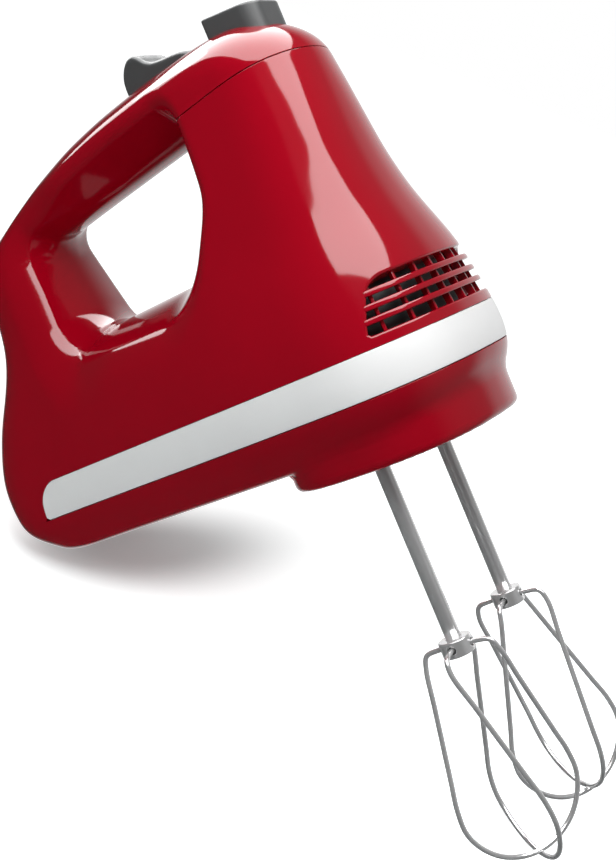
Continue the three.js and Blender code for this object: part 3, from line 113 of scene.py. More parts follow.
SPINDLE_SPACING, SPINDLE_MOUTH_RADIUS = 42.0, 7.0
SHAFT_RADIUS, SHAFT_TOP_Z = 2.6, 42.0
COLLAR_RADIUS, COLLAR_HEIGHT, COLLAR_TOP_Z = 5.5, 5.5, -60.5
WIRE_RADIUS, WIRE_HOLE_RADIUS = 0.85, 1.35
WIRE_EXIT_Z = COLLAR_TOP_Z - COLLAR_HEIGHT / 2
LOOP_RADIUS, LOOP_SHOULDER_RADIUS, LOOP_SHOULDER_DROP = 21.9, 13.2, 4.9
LOOP_WIDEST_DROP, LOOP_DEPTH, LOOP_STAGGER = 50.8, 72.3, 2.0
LOOP_TWIST, LOOP_START = 44.0, 8.0
SPRING_WIRE_RADIUS, SPRING_TURNS = 0.6, 4.5


# ---------------------------------------------------------------- curves and fields
def smooth_step(value, low, high):
    t = np.clip((value - low) / (high - low), 0, 1)
    return t * t * (3 - 2 * t)


def profile(*stations, softness=4.5):
    """A curve value(position) through stations, with its corners blurred over a few millimetres."""
    step, margin = 0.5, 60.0
    at = np.array([s[0] for s in stations], float)
    value = np.array([s[1] for s in stations], float)
    first = (value[1] - value[0]) / (at[1] - at[0])
    last = (value[-1] - value[-2]) / (at[-1] - at[-2])
    at = np.concatenate([[at[0] - 2 * margin], at, [at[-1] + 2 * margin]])
    value = np.concatenate([[value[0] - 2 * margin * first], value, [value[-1] + 2 * margin * last]])
    grid = np.arange(at[1] - margin, at[-2] + margin, step)
    reach = np.arange(-5 * softness, 5 * softness + step, step)
    kernel = np.exp(-0.5 * (reach / softness) ** 2)
    pad = len(reach) // 2
    wide = np.arange(grid[0] - pad * step, grid[-1] + (pad + 0.5) * step, step)
    soft = np.convolve(np.interp(wide, at, value), kernel / kernel.sum(), "valid")[: len(grid)]
    slope = np.gradient(soft, step)

    def curve(position):
        u = np.clip((position - grid[0]) / step, 0, len(soft) - 1.001)
        i = u.astype(int)
        t = u - i
        bend = t * t * (3 - 2 * t)
        ends = (1 - bend) * soft[i] + bend * soft[i + 1]
        return ends + step * t * (1 - t) * ((1 - t) * slope[i] - t * slope[i + 1])

    return curve


def round_max(a, b, radius):
    """Where both fields are inside, with the corner between them rounded."""
    corner = np.hypot(np.maximum(a + radius, 0), np.maximum(b + radius, 0)) - radius
    return corner + np.minimum(np.maximum(a, b) + radius, 0)


def round_min(a, b, radius):
    """Where either field is inside, with the inner corner filled by a fillet."""
    return -round_max(-a, -b, radius)


def gradient(field, x, y, z, step=0.2):
    along_x = field(x + step, y, z) - field(x - step, y, z)
    along_y = field(x, y + step, z) - field(x, y - step, z)
    along_z = field(x, y, z + step) - field(x, y, z - step)
    return np.stack([along_x, along_y, along_z], -1) / (2 * step)


def in_millimetres(field):
    """The same form, with values that count millimetres near its surface."""

    def scaled(x, y, z):
        steepness = np.linalg.norm(gradient(field, x, y, z), axis=-1)
        return field(x, y, z) / np.maximum(steepness, 1e-4)

    return scaled


# ---------------------------------------------------------------- the body's form
BULGE_Z = (BAND_LOW + BAND_HIGH) / 2
nose_at = profile(
    (BASE_Z, NOSE_X - 9.5), (BASE_Z + 5.5, NOSE_X - 5.5), (BASE_Z + 9, NOSE_X - 1.2),
    (BAND_LOW, NOSE_X - 0.6), (BULGE_Z, NOSE_X), (BAND_HIGH + 1, NOSE_X - 1.2),
    (57, NOSE_X - 4.1), (78, NOSE_X - 11), (92, NOSE_X - 13.8),
    (104, NOSE_X - 14.9), (120, NOSE_X - 16), (134, NOSE_X - 17.6))
tail_at = profile(
    (BASE_Z, HEEL_X + 12.5), (17.5, HEEL_X - 1.5), (39, HEEL_X - 1.5), (50, HEEL_X + 2.3), (60, HEEL_X + 6.8),
    (72, HEEL_X + 14.8), (84, HEEL_X + 21), (98, HEEL_X + 23), (112, HEEL_X + 22), (124, HEEL_X + 20))
width_at = profile(
    (BASE_Z, HALF_WIDTH - 10), (BASE_Z + 5.5, HALF_WIDTH - 6), (BASE_Z + 9, HALF_WIDTH - 2),
    (BAND_LOW, HALF_WIDTH - 0.8), (BULGE_Z, HALF_WIDTH), (BAND_HIGH + 1, HALF_WIDTH - 0.2),
    (46, HALF_WIDTH - 1.6), (58, HALF_WIDTH - 4.4), (77, TOWER_HALF_WIDTH + 8), (95, TOWER_HALF_WIDTH + 4),
    (110, TOWER_HALF_WIDTH + 1.5), (125, TOWER_HALF_WIDTH), (TOP_Z, TOWER_HALF_WIDTH - 0.5))
top_at = profile(
    (-142, TOP_Z - 26.5), (-126, TOP_Z - 21.7), (-109, TOP_Z - 15), (-93, TOP_Z - 9.7), (-74, TOP_Z - 5.1),
    (-56, TOP_Z - 2.6), (-34, TOP_Z - 0.9), (-14, TOP_Z), (-2, TOP_Z - 0.2), (8, TOP_Z - 1.6),
    (16, TOP_Z - 3.4), (25, TOP_Z - 4.6))
NOSE_START = NOSE_X - NOSE_ROUNDING


def taper_at(x):
    return 1 - TAIL_NARROWING * smooth_step(-x, 10, 140)


def side_form(x, y, z):
    """The closed outline of the body at a height, rounded over nose, tail and crown."""
    tail_start = tail_at(z) + TAIL_ROUNDING + (TAIL_ROUNDING_HIGH - TAIL_ROUNDING) * smooth_step(z, 50, 110)
    nose = np.maximum(0, (x - NOSE_START) / (nose_at(z) - NOSE_START))
    tail = np.maximum(0, (tail_start - x) / (tail_start - tail_at(z)))
    crown = np.maximum(0, 1 - (top_at(x) - z) / CROWN_DEPTH)
    side = np.abs(y) / (width_at(z) * taper_at(x))
    softness = 2.5 - 0.5 * smooth_step(z, 100, 140)
    return side**softness + nose**2.5 + tail**2.5 + crown**2.2 - 1


def chin_form(x, y, z):
    """The gear case's plan outline, the same at every height."""
    middle, reach = (CHIN_FRONT_X + CHIN_REAR_X) / 2, (CHIN_FRONT_X - CHIN_REAR_X) / 2
    return np.abs((x - middle) / reach) ** 2.5 + np.abs(y / CHIN_HALF_WIDTH) ** 2.5 - 1 + 0 * z


def opening_field(x, y, z):
    """The finger opening: its floor sinks to the sides and its ceiling climbs to the handle's crest."""
    away = np.abs(y)
    high_rear = OPENING_REAR_X - OPENING_LEAN
    front = x - OPENING_FRONT_X + 2.5 * smooth_step(-z, -102, -84)
    lean = OPENING_LEAN / (HANDLE_UNDER_REAR_Z - OPENING_FLOOR_Z)
    wall = OPENING_REAR_X - OPENING_REAR_CROWN * (away / OPENING_REAR_REACH) ** 2
    rear = (wall - lean * (z - OPENING_FLOOR_Z) - x) / math.hypot(1, lean)
    floor = OPENING_FLOOR_Z - OPENING_FLOOR_DROP * (away / OPENING_FLOOR_REACH) ** 2 - z
    floor = floor / np.hypot(1, OPENING_FLOOR_DROP * 2 * away / OPENING_FLOOR_REACH**2)
    along = (x - high_rear) / (OPENING_FRONT_X - high_rear)
    under = HANDLE_UNDER_REAR_Z + (HANDLE_UNDER_FRONT_Z - HANDLE_UNDER_REAR_Z) * along
    crest = top_at(x) - HANDLE_CREST_DROP
    reach = width_at(crest) * taper_at(x) - HANDLE_UNDER_HALF_WIDTH
    climb = (away - HANDLE_UNDER_HALF_WIDTH) / reach
    soft = (climb + np.sqrt(climb**2 + 0.02)) / 2
    ceiling = z - under - (crest - under) * np.minimum(soft, 1.3)
    ceiling = ceiling / np.hypot(1, (crest - under) / reach * smooth_step(climb, -0.15, 0.15))
    lower = np.maximum(round_max(front, floor, OPENING_LOW_FRONT_RADIUS),
                       round_max(rear, floor, OPENING_LOW_REAR_RADIUS))
    upper = np.maximum(round_max(front, ceiling, OPENING_HIGH_FRONT_RADIUS),
                       round_max(rear, ceiling, OPENING_HIGH_REAR_RADIUS))
    return np.maximum(lower, upper)


side_field = in_millimetres(side_form)
chin_side = in_millimetres(chin_form)


def body_field(x, y, z):
    """The whole body: the bell and the gear case's chin, less the finger opening with its rounded rim."""
    tray = round_max(round_max(side_field(x, y, z), HEEL_X - x, TRAY_EDGE), BASE_Z - z, TRAY_EDGE)
    chin = round_max(round_max(chin_side(x, y, z), -z, CHIN_EDGE), z - BAND_LOW, CHIN_TOP_EDGE)
    rim = RIM_RADIUS + (RIM_REAR_RADIUS - RIM_RADIUS) * smooth_step(-x, 76, 100)
    return round_max(round_min(tray, chin, CHIN_FILLET), -opening_field(x, y, z), rim)


# ---------------------------------------------------------------- meshes from fields
def settle(field, points, rounds=3):
    """Moves points onto the surface of a field."""
    for _ in range(rounds):
        x, y, z = points.T
        slope = gradient(field, x, y, z)
        steepness = np.maximum((slope**2).sum(-1), 1e-4)
        points = points - (np.clip(field(x, y, z), -1, 1) / steepness)[:, None] * slope
    return points


def outward(field, points):
    """Unit normals of a field's surface."""
    slope = gradient(field, *points.T)
    return slope / np.maximum(np.linalg.norm(slope, axis=1), 1e-9)[:, None]


def skin(field, low, high, step):
    """Points and triangles of a field's surface inside a box, by surface nets."""
    axes = [np.arange(a, b + step, step) for a, b in zip(low, high)]
    x, y, z = np.meshgrid(*axes, indexing="ij")
    value = field(x, y, z)
    inside = value < 0
    shape = tuple(n - 1 for n in value.shape)
    total, hits = np.zeros(shape + (3,)), np.zeros(shape)
    corners = [(i, j, k) for i in (0, 1) for j in (0, 1) for k in (0, 1)]

    def at(grid, corner):
        return grid[tuple(slice(c, c + n) for c, n in zip(corner, shape))]

    # One point in each cell that the surface crosses: the mean of the crossings on its edges.
    for a in corners:
        for b in corners:
            if sum(b) - sum(a) != 1 or any(q < p for p, q in zip(a, b)):
                continue
            crossed = at(inside, a) != at(inside, b)
            va, vb = at(value, a), at(value, b)
            share = np.where(crossed, va / np.where(crossed, va - vb, 1), 0)
            for axis in range(3):
                place = a[axis] + share * (b[axis] - a[axis])
                total[..., axis] += np.where(crossed, place, 0)
            hits += crossed
    used = hits > 0
    number = np.full(shape, -1)
    number[used] = np.arange(used.sum())
    cell = np.argwhere(used)
    points = np.array(low, float) + step * (cell + total[used] / hits[used][:, None])
    # One quad round each grid edge that the surface crosses, facing out.
    quads = []
    for axis in range(3):
        ahead = [slice(1, -1)] * 3
        here = [slice(1, -1)] * 3
        ahead[axis], here[axis] = slice(1, None), slice(0, -1)
        first, second = inside[tuple(here)], inside[tuple(ahead)]
        where = np.argwhere(first != second)
        offset = np.array([1, 1, 1])
        offset[axis] = 0
        base = where + offset
        u, v = [np.eye(3, dtype=int)[(axis + k) % 3] for k in (1, 2)]
        ring = np.stack([number[tuple((base - d).T)] for d in (0 * u, u, u + v, v)], 1)
        leaving = first[tuple(where.T)]
        quads.append(np.where(leaving[:, None], ring, ring[:, ::-1]))
    quads = np.concatenate(quads)
    triangles = np.concatenate([quads[:, [0, 1, 2]], quads[:, [0, 2, 3]]])
    return settle(field, points), triangles


def clip(points, triangles, region):
    """The part of a skin where region is negative, and the edges of the rim that the cut leaves."""
    value = region(*points.T)
    value = np.where(np.abs(value) < 1e-6, 1e-6, value)
    inside = value < 0
    count = inside[triangles].sum(1)
    made, extra, rim = {}, [], []

    def crossing(a, b):
        key = (min(a, b), max(a, b))
        if key not in made:
            share = value[a] / (value[a] - value[b])
            made[key] = len(points) + len(extra)
            extra.append(points[a] + share * (points[b] - points[a]))
        return made[key]

    pieces = [triangles[count == 3]]
    for corner in triangles[(count > 0) & (count < 3)].tolist():
        # Turned until its first corner is inside and its last one outside.
        while not inside[corner[0]] or inside[corner[2]]:
            corner = corner[1:] + corner[:1]
        a, b, c = corner
        if inside[b]:
            p, q = crossing(b, c), crossing(a, c)
            pieces.append(np.array([[a, b, p], [a, p, q]]))
        else:
            p, q = crossing(a, b), crossing(a, c)
            pieces.append(np.array([[a, p, q]]))
        rim.append((p, q))
    everything = np.concatenate([points, np.array(extra).reshape(-1, 3)])
    return everything, np.concatenate(pieces), np.array(rim).reshape(-1, 2)


def rolled_edge(field, points, rim, region, radius, depth):
    """A strip that rounds a cut edge over and runs inwards: points, triangles and normals."""
    ids, local = np.unique(rim, return_inverse=True)
    local = local.reshape(-1, 2)
    edge = points[ids]
    normal = outward(field, edge)
    away = gradient(region, *edge.T)
    away = away - (away * normal).sum(1)[:, None] * normal
    away = away / np.maximum(np.linalg.norm(away, axis=1), 1e-9)[:, None]
    rings, normals = [], []
    for turn in (0, 30, 60, 90):
        s, c = math.sin(math.radians(turn)), math.cos(math.radians(turn))
        rings.append(edge + radius * (s * away - (1 - c) * normal))
        normals.append(c * normal + s * away)
    rings.append(rings[-1] - depth * normal)
    normals.append(away)
    size, strips = len(ids), []
    for row in range(len(rings) - 1):
        a, b = local[:, 0] + row * size, local[:, 1] + row * size
        strips += [np.stack([b, a, a + size], 1), np.stack([b, a + size, b + size], 1)]
    return np.concatenate(rings), np.concatenate(strips), np.concatenate(normals)


def panel(field, source, cuts):
    """A piece of a skin: each cut is (region, edge radius, depth of the turned-in edge)."""
    points, triangles = source
    strips = []
    for region, radius, depth in cuts:
        points, triangles, rim = clip(points, triangles, lambda x, y, z: region(x, y, z) + radius)
        strips.append(rolled_edge(field, points, rim, region, radius, depth))
    used, numbered = np.unique(triangles, return_inverse=True)
    meshes = [(points[used], numbered.reshape(-1, 3), outward(field, points[used]))]
    return merge_parts(meshes + strips)


def merge_parts(parts):
    """One mesh from several: points, faces and normals."""
    start, points, faces, normals = 0, [], [], []
    for part in parts:
        points.append(part[0])
        faces.append(part[1] + start)
        normals.append(part[2])
        start += len(part[0])
    return np.concatenate(points), np.concatenate(faces), np.concatenate(normals)


def mesh_object(name, points, faces, normals=None):
    mesh = bpy.data.meshes.new(name)
    mesh.from_pydata((points * MM).tolist(), [], faces.tolist())
    mesh.shade_smooth()
    if normals is not None:
        mesh.normals_split_custom_set_from_vertices(normals.tolist())
    made = bpy.data.objects.new(name, mesh)
    bpy.context.scene.collection.objects.link(made)
    return made


# ---------------------------------------------------------------- outlines that cut the skins
def under_cover(x, y, z):
    """Negative in the top cover: over the seam at both towers, and the whole of the handle between."""
    front = SEAM_FRONT_Z + SEAM_FRONT_SLOPE * x
    rear = SEAM_REAR_Z + SEAM_REAR_SLOPE * (x - HANDLE_SEAM_REAR_X)
    seam = np.where(x > (OPENING_FRONT_X + OPENING_REAR_X) / 2, front, rear) - z
    handle = np.maximum(x - HANDLE_SEAM_FRONT_X, HANDLE_SEAM_REAR_X - x)
    return np.minimum(seam, np.maximum(handle, HANDLE_SEAM_Z - z))


def band_outline(x, z):
    """Negative in the band, whose rear end leans and has a rounded upper corner."""
    rear = BAND_REAR_X - BAND_END_LEAN * (BAND_HIGH - z) / (BAND_HIGH - BAND_LOW)
    return np.maximum(round_max(rear - x, z - BAND_HIGH, BAND_END_RADIUS), BAND_LOW - z)


def vent_outline(x, z):
    """Negative in the vent's window, whose rear edge leans forward as it rises."""
    lean = VENT_SLOPE / (VENT_HIGH_Z - VENT_LOW_Z)
    rear = (VENT_REAR_X + lean * (z - VENT_LOW_Z) - x) / math.hypot(1, lean)
    return np.maximum(round_max(rear, z - VENT_HIGH_Z, 3.5), round_max(rear, VENT_LOW_Z - z, 1.5))


def ejector_outline(x, y):
    side = np.abs(y) - EJECTOR_HALF_WIDTH
    front = round_max(x - EJECTOR_FRONT_X, side, EJECTOR_FRONT_RADIUS)
    return np.maximum(front, round_max(EJECTOR_REAR_X - x, side, EJECTOR_REAR_RADIUS))


def track_outline(x, y):
    rear = SLIDER_REAR_X - SLIDER_TRAVEL - TRACK_CLEARANCE
    front = SLIDER_REAR_X + SLIDER_LENGTH + TRACK_CLEARANCE
    side = np.abs(y) - SLIDER_HALF_WIDTH - TRACK_CLEARANCE
    return np.maximum(round_max(rear - x, side, TRACK_RADIUS), round_max(x - front, side, TRACK_RADIUS))


def spindle_mouths(x, y):
    return np.hypot(x, np.abs(y) - SPINDLE_SPACING / 2) - SPINDLE_MOUTH_RADIUS


# ---------------------------------------------------------------- red shells and band
LINE, OVERLAP = 0.14, 0.12
SEAM_EDGE, SEAM_DEPTH = 0.16, 1.6


def closing_line(x, closed_x, open_x):
    """Half a seam's width: its two sides overlap behind closed_x and stand apart in front of open_x."""
    return (LINE + OVERLAP) * smooth_step(x, closed_x, open_x) - OVERLAP


def seam_line(x):
    """The cover closes tightly round the handle's rear foot."""
    return closing_line(x, -98, -60)


def base_line(x):
    """The base closes tightly behind the band."""
    return closing_line(x, -140, -132)


def cover_panel(source):
    cuts = [
        (lambda x, y, z: under_cover(x, y, z) + seam_line(x), SEAM_EDGE, SEAM_DEPTH),
        (lambda x, y, z: GAP - ejector_outline(x, y), 0.5, 3.0),
        (lambda x, y, z: np.minimum(-track_outline(x, y), z - TRACK_CUT_Z), 0.4, 3.0),
    ]
    return panel(body_field, source, cuts)


def housing_panel(source):
    def above_base(x, y, z):
        return np.maximum(BAND_LOW + base_line(x) - z, -band_outline(x, z))

    cuts = [
        (lambda x, y, z: seam_line(x) - under_cover(x, y, z), SEAM_EDGE, SEAM_DEPTH),
        (above_base, SEAM_EDGE, SEAM_DEPTH),
        (lambda x, y, z: -vent_outline(x, z), 0.9, 5.0),
    ]
    return panel(body_field, source, cuts)


def base_panel(source):
    cuts = [
        (lambda x, y, z: z - BAND_LOW + base_line(x), SEAM_EDGE, SEAM_DEPTH),
        (lambda x, y, z: -spindle_mouths(x, y), 0.6, 3.0),
    ]
    return panel(body_field, source, cuts)


def band_panel(source):
    return panel(body_field, source, [(lambda x, y, z: band_outline(x, z) + LINE, 0.3, 1.2)])


# ---------------------------------------------------------------- air outlet
def nose_point(angle, z, inset):
    """The place on the nose at a plan angle about the nose's own centre, sunk under the skin."""
    angle, z, inset = np.broadcast_arrays(*[np.asarray(v, float) for v in (angle, z, inset)])
    cos, sin = np.cos(np.radians(angle)), np.sin(np.radians(angle))
    near, far = np.full(angle.shape, 5.0), np.full(angle.shape, 60.0)
    for _ in range(30):
        reach = (near + far) / 2
        within = side_field(NOSE_START + reach * cos, reach * sin, z) < -inset
        near, far = np.where(within, reach, near), np.where(within, far, reach)
    return np.stack([NOSE_START + near * cos, near * sin, z], -1)


def grid_faces(rows, columns, closed):
    """Triangles between neighbouring rows of a grid of points, wrapping round if closed."""
    faces = []
    for r in range(rows - 1):
        for c in range(columns if closed else columns - 1):
            a, b = r * columns + c, r * columns + (c + 1) % columns
            faces += [[a, b, b + columns], [a, b + columns, a + columns]]
    return np.array(faces)


def rounded_section(half_height, shallow, deep, radius, steps=4):
    """A bar's section as [height, inset] points, with its outer edges rounded."""
    points = [[-half_height, deep]]
    for side, start in ((-1, 0), (1, 90)):
        for i in range(steps + 1):
            turn = math.radians(start + 90 * i / steps)
            u = side * (half_height - radius) + radius * (-math.cos(turn))
            points.append([u, shallow + radius * (1 - math.sin(turn))])
    return np.array(points + [[half_height, deep]])


def vent_end_angle(z):
    """Plan angle at which the window's rear edge cuts the nose at a height."""
    rear = VENT_REAR_X + VENT_SLOPE * (z - VENT_LOW_Z) / (VENT_HIGH_Z - VENT_LOW_Z)
    low, high = 20.0, 85.0
    for _ in range(25):
        middle = (low + high) / 2
        if nose_point(middle, z, 0)[0] > rear - 0.6:
            low = middle
        else:
            high = middle
    return low


def slat(z):
    """A bar that wraps round the nose at a height, flush with the skin."""
    section = rounded_section(SLAT_HALF_HEIGHT, 0.0, SLAT_DEPTH, SLAT_ROUNDING)
    end = vent_end_angle(z)
    angles = np.linspace(-end, end, 90)
    points = nose_point(angles[:, None], z + section[None, :, 0], section[None, :, 1])
    return points.reshape(-1, 3), grid_faces(len(angles), len(section), False)


def rib(angle):
    """A rib that runs up the window behind the slats."""
    section = rounded_section(RIB_HALF_WIDTH, SLAT_DEPTH - GAP, RIB_DEPTH, RIB_ROUNDING)
    heights = np.linspace(VENT_LOW_Z - 1, VENT_HIGH_Z + 1, 16)
    turn = angle + np.degrees(section[None, :, 0] / RIB_CURVE_RADIUS)
    points = nose_point(turn, heights[:, None], section[None, :, 1])
    return points.reshape(-1, 3), grid_faces(len(heights), len(section), False)


def vent_sheet(first, last, inset):
    """A sheet behind the window between two plan angles, sunk under the skin."""
    angles = np.linspace(first, last, 40)
    heights = np.linspace(VENT_LOW_Z - 2, VENT_HIGH_Z + 2, 10)
    points = nose_point(angles[None, :], heights[:, None], inset)
    return points.reshape(-1, 3), grid_faces(len(heights), len(angles), False)


def vent_parts():
    pitch = (VENT_HIGH_Z - VENT_LOW_Z) / SLOT_COUNT
    parts = [slat(VENT_LOW_Z + pitch * i) for i in range(1, SLOT_COUNT)]
    parts += [rib(side * angle) for angle in RIB_ANGLES for side in (-1, 1)]
    parts += [vent_sheet(side * 60, side * 80, 3.0) for side in (-1, 1)]
    return parts


# ---------------------------------------------------------------- controls
def polygon_field(corners):
    """Signed distance to a closed outline in the XZ plane."""
    corners = np.array(corners, float)
    following = np.roll(corners, -1, axis=0)

    def field(x, y, z):
        nearest = np.full(np.broadcast(x, z).shape, 1e9)
        inside = np.zeros(nearest.shape, bool)
        for (ax, az), (bx, bz) in zip(corners, following):
            ex, ez = bx - ax, bz - az
            t = np.clip(((x - ax) * ex + (z - az) * ez) / (ex * ex + ez * ez), 0, 1)
            nearest = np.minimum(nearest, np.hypot(x - ax - t * ex, z - az - t * ez))
            if ez != 0:
                crosses = ((az > z) != (bz > z)) & (x < ex * (z - az) / ez + ax)
                inside ^= crosses
        return np.where(inside, -nearest, nearest)

    return field


def slider_field():
    """Thumb slider: a tall rounded ridge at the rear with a scooped face, and a low ramp in front."""
    low = TRACK_FLOOR_Z + GAP
    ridge = smooth_path([[0.2, 148.0], [0.7, 150.4], [2.0, 153.2], [3.9, 155.4], [6.2, 156.7], [8.6, 156.6],
                         [10.6, 155.0], [12.3, 153.0], [14.6, 151.5], [18.5, 150.6], [23.5, 149.9],
                         [27.6, 149.0], [30.6, 147.6], [32.6, 145.4]], 6)
    outline = [[0, low], [SLIDER_LENGTH, low], *ridge[::-1].tolist()]
    side = polygon_field([[SLIDER_REAR_X + a, b] for a, b in outline])

    def field(x, y, z):
        plan = np.maximum(round_max(x - SLIDER_REAR_X - SLIDER_LENGTH, np.abs(y) - SLIDER_HALF_WIDTH, 6.5),
                          round_max(SLIDER_REAR_X - x, np.abs(y) - SLIDER_HALF_WIDTH, 1.5))
        scoop = 1.0 * np.exp(-(((x - SLIDER_REAR_X - 13.5) / 3.6) ** 2 + (y / 5.6) ** 4))
        crown = 0.5 * (y / SLIDER_HALF_WIDTH) ** 2
        return round_max(side(x, y, z + crown) + 0.4 + scoop, plan, 1.1) - 0.2

    return field


def ejector_field(x, y, z):
    """Sloping button with a rounded front, and a dished oval pad raised on its top."""
    fall = EJECTOR_TOP_Z - EJECTOR_SLOPE * np.maximum(0, x - EJECTOR_REAR_X)
    oval = np.hypot((x - PAD_MIDDLE_X) / PAD_HALF_LENGTH, y / PAD_HALF_WIDTH)
    pad = PAD_HEIGHT * (1 - smooth_step(oval, 0.94, 1.06)) - PAD_DISH * (1 - smooth_step(oval, 0.2, 0.98))
    top = (z - fall + 0.5 - pad) / math.hypot(1, EJECTOR_SLOPE)
    return np.maximum(round_max(ejector_outline(x, y), top, 0.9), EJECTOR_LOW_Z - z)


# ---------------------------------------------------------------- beaters
def turned(profile_points, sides=48):
    """A turned piece standing on Z from [radius, height] points."""
    turns = np.linspace(0, 2 * math.pi, sides, endpoint=False)
    outline = np.array(profile_points, float)
    x = outline[:, :1] * np.cos(turns)
    y = outline[:, :1] * np.sin(turns)
    z = np.broadcast_to(outline[:, 1:], x.shape)
    points = np.stack([x, y, z], -1).reshape(-1, 3)
    return points, grid_faces(len(outline), sides, True)


def tube(path, radius, sides=14):
    """A round wire along a path, with its section carried along without twisting."""
    path = np.array(path, float)
    along = np.gradient(path, axis=0)
    along /= np.linalg.norm(along, axis=1)[:, None]
    across = np.cross(along[0], [0.3, 0.5, 0.8])
    rings = []
    for place, tangent in zip(path, along):
        across = across - tangent * (across @ tangent)
        across = across / np.linalg.norm(across)
        other = np.cross(tangent, across)
        turns = np.linspace(0, 2 * math.pi, sides, endpoint=False)[:, None]
        rings.append(place + radius * (np.cos(turns) * across + np.sin(turns) * other))
    return np.concatenate(rings), grid_faces(len(path), sides, True)


def smooth_path(points, steps=12):
    """A centripetal curve through points."""
    points = np.array(points, float)
    points = np.concatenate([[2 * points[0] - points[1]], points, [2 * points[-1] - points[-2]]])
    made = []
    for i in range(1, len(points) - 2):
        p = points[i - 1 : i + 3]
        knots = np.concatenate([[0], np.cumsum(np.linalg.norm(np.diff(p, axis=0), axis=1) ** 0.5)])
        for t in np.linspace(knots[1], knots[2], steps, endpoint=False):
            level = list(p)
            for spans in (((0, 1), (1, 2), (2, 3)), ((0, 2), (1, 3)), ((1, 2),)):
                shares = [(t - knots[low]) / (knots[high] - knots[low]) for low, high in spans]
                level = [(1 - share) * a + share * b for share, a, b in zip(shares, level, level[1:])]
            made.append(level[0])
    made.append(points[-2])
    return np.array(made)


def loop_path(hand, start, drop):
    """Out of the collar, down a straight slanted leg, round under the axis and up the other side."""
    bottom = WIRE_EXIT_Z - LOOP_DEPTH - drop
    widest = WIRE_EXIT_Z - LOOP_WIDEST_DROP - drop

    def place(radius, z, turn):
        angle = math.radians(start + LOOP_START + hand * turn)
        return np.array([radius * math.cos(angle), radius * math.sin(angle), z])

    top = place(LOOP_SHOULDER_RADIUS, WIRE_EXIT_Z - LOOP_SHOULDER_DROP, 2)
    foot = place(LOOP_RADIUS, widest, LOOP_TWIST)
    half = [place(3.0, WIRE_EXIT_Z, 0), place(6.6, WIRE_EXIT_Z, 0),
            place(LOOP_SHOULDER_RADIUS - 1.8, WIRE_EXIT_Z - 0.9, 0)]
    half += [top + (foot - top) * t for t in (0, 0.25, 0.5, 0.75, 0.93)]
    for turn in (12, 30, 50, 70):
        cos, sin = math.cos(math.radians(turn)), math.sin(math.radians(turn))
        half.append(place(LOOP_RADIUS * cos, widest - (widest - bottom) * sin, LOOP_TWIST))
    other = [[-x, -y, z] for x, y, z in half[::-1]]
    return smooth_path([*half, [0, 0, bottom], *other])


def collar_field(x, y, z):
    """A ring on the shaft, with four round mouths where the wires come out."""
    away = np.hypot(x, y)
    ring = round_max(away - COLLAR_RADIUS, np.abs(z - WIRE_EXIT_Z) - COLLAR_HEIGHT / 2, 0.5)
    cos, sin = math.cos(math.radians(LOOP_START)), math.sin(math.radians(LOOP_START))
    across = np.minimum(np.abs(y * cos - x * sin), np.abs(x * cos + y * sin))
    holes = np.hypot(across, z - WIRE_EXIT_Z) - WIRE_HOLE_RADIUS
    return round_max(np.maximum(ring, SHAFT_RADIUS - 0.1 - away), -holes, 0.3)


# ---------------------------------------------------------------- materials
GRAIN_DEPTH = 0.1 * MM


def new_material(name):
    made = bpy.data.materials.new(name)
    made.use_nodes = True
    nodes = made.node_tree.nodes
    return made, nodes, made.node_tree.links, nodes["Principled BSDF"]


def set_shader(shader, **values):
    for name, value in values.items():
        shader.inputs[name.replace("_", " ")].default_value = value


def mottled(nodes, links, shader, colour, other, scale):
    """Colour that drifts between two close tones."""
    place = nodes.new("ShaderNodeTexCoord")
    noise = nodes.new("ShaderNodeTexNoise")
    noise.inputs["Scale"].default_value = scale
    noise.inputs["Detail"].default_value = 4.0
    ramp = nodes.new("ShaderNodeValToRGB")
    ramp.color_ramp.elements[0].position = 0.3
    ramp.color_ramp.elements[0].color = (*colour, 1)
    ramp.color_ramp.elements[1].position = 0.7
    ramp.color_ramp.elements[1].color = (*other, 1)
    links.new(place.outputs["Object"], noise.inputs["Vector"])
    links.new(noise.outputs["Fac"], ramp.inputs["Fac"])
    links.new(ramp.outputs["Color"], shader.inputs["Base Color"])
    return place


def grained(nodes, links, shader, place, scale, strength, stretch=(1, 1, 1)):
    """Fine surface grain as a bump."""
    mapping = nodes.new("ShaderNodeMapping")
    mapping.inputs["Scale"].default_value = stretch
    noise = nodes.new("ShaderNodeTexNoise")
    noise.inputs["Scale"].default_value = scale
    noise.inputs["Detail"].default_value = 3.0
    bump = nodes.new("ShaderNodeBump")
    bump.inputs["Strength"].default_value = strength
    bump.inputs["Distance"].default_value = GRAIN_DEPTH
    links.new(place.outputs["Object"], mapping.inputs["Vector"])
    links.new(mapping.outputs["Vector"], noise.inputs["Vector"])
    links.new(noise.outputs["Fac"], bump.inputs["Height"])
    links.new(bump.outputs["Normal"], shader.inputs["Normal"])


def plastic(name, colour, other, roughness, grain, grain_scale=900):
    made, nodes, links, shader = new_material(name)
    set_shader(shader, Roughness=roughness)
    place = mottled(nodes, links, shader, colour, other, 40)
    grained(nodes, links, shader, place, grain_scale, grain)
    return made


def metal(name, colour, other, roughness, grain=0.0, stretch=(1, 1, 1), metallic=1.0):
    made, nodes, links, shader = new_material(name)
    set_shader(shader, Metallic=metallic, Roughness=roughness)
    place = mottled(nodes, links, shader, colour, other, 60)
    if grain:
        grained(nodes, links, shader, place, 500, grain, stretch=stretch)
    return made


def paint(thing, material):
    thing.data.materials.clear()
    thing.data.materials.append(material)


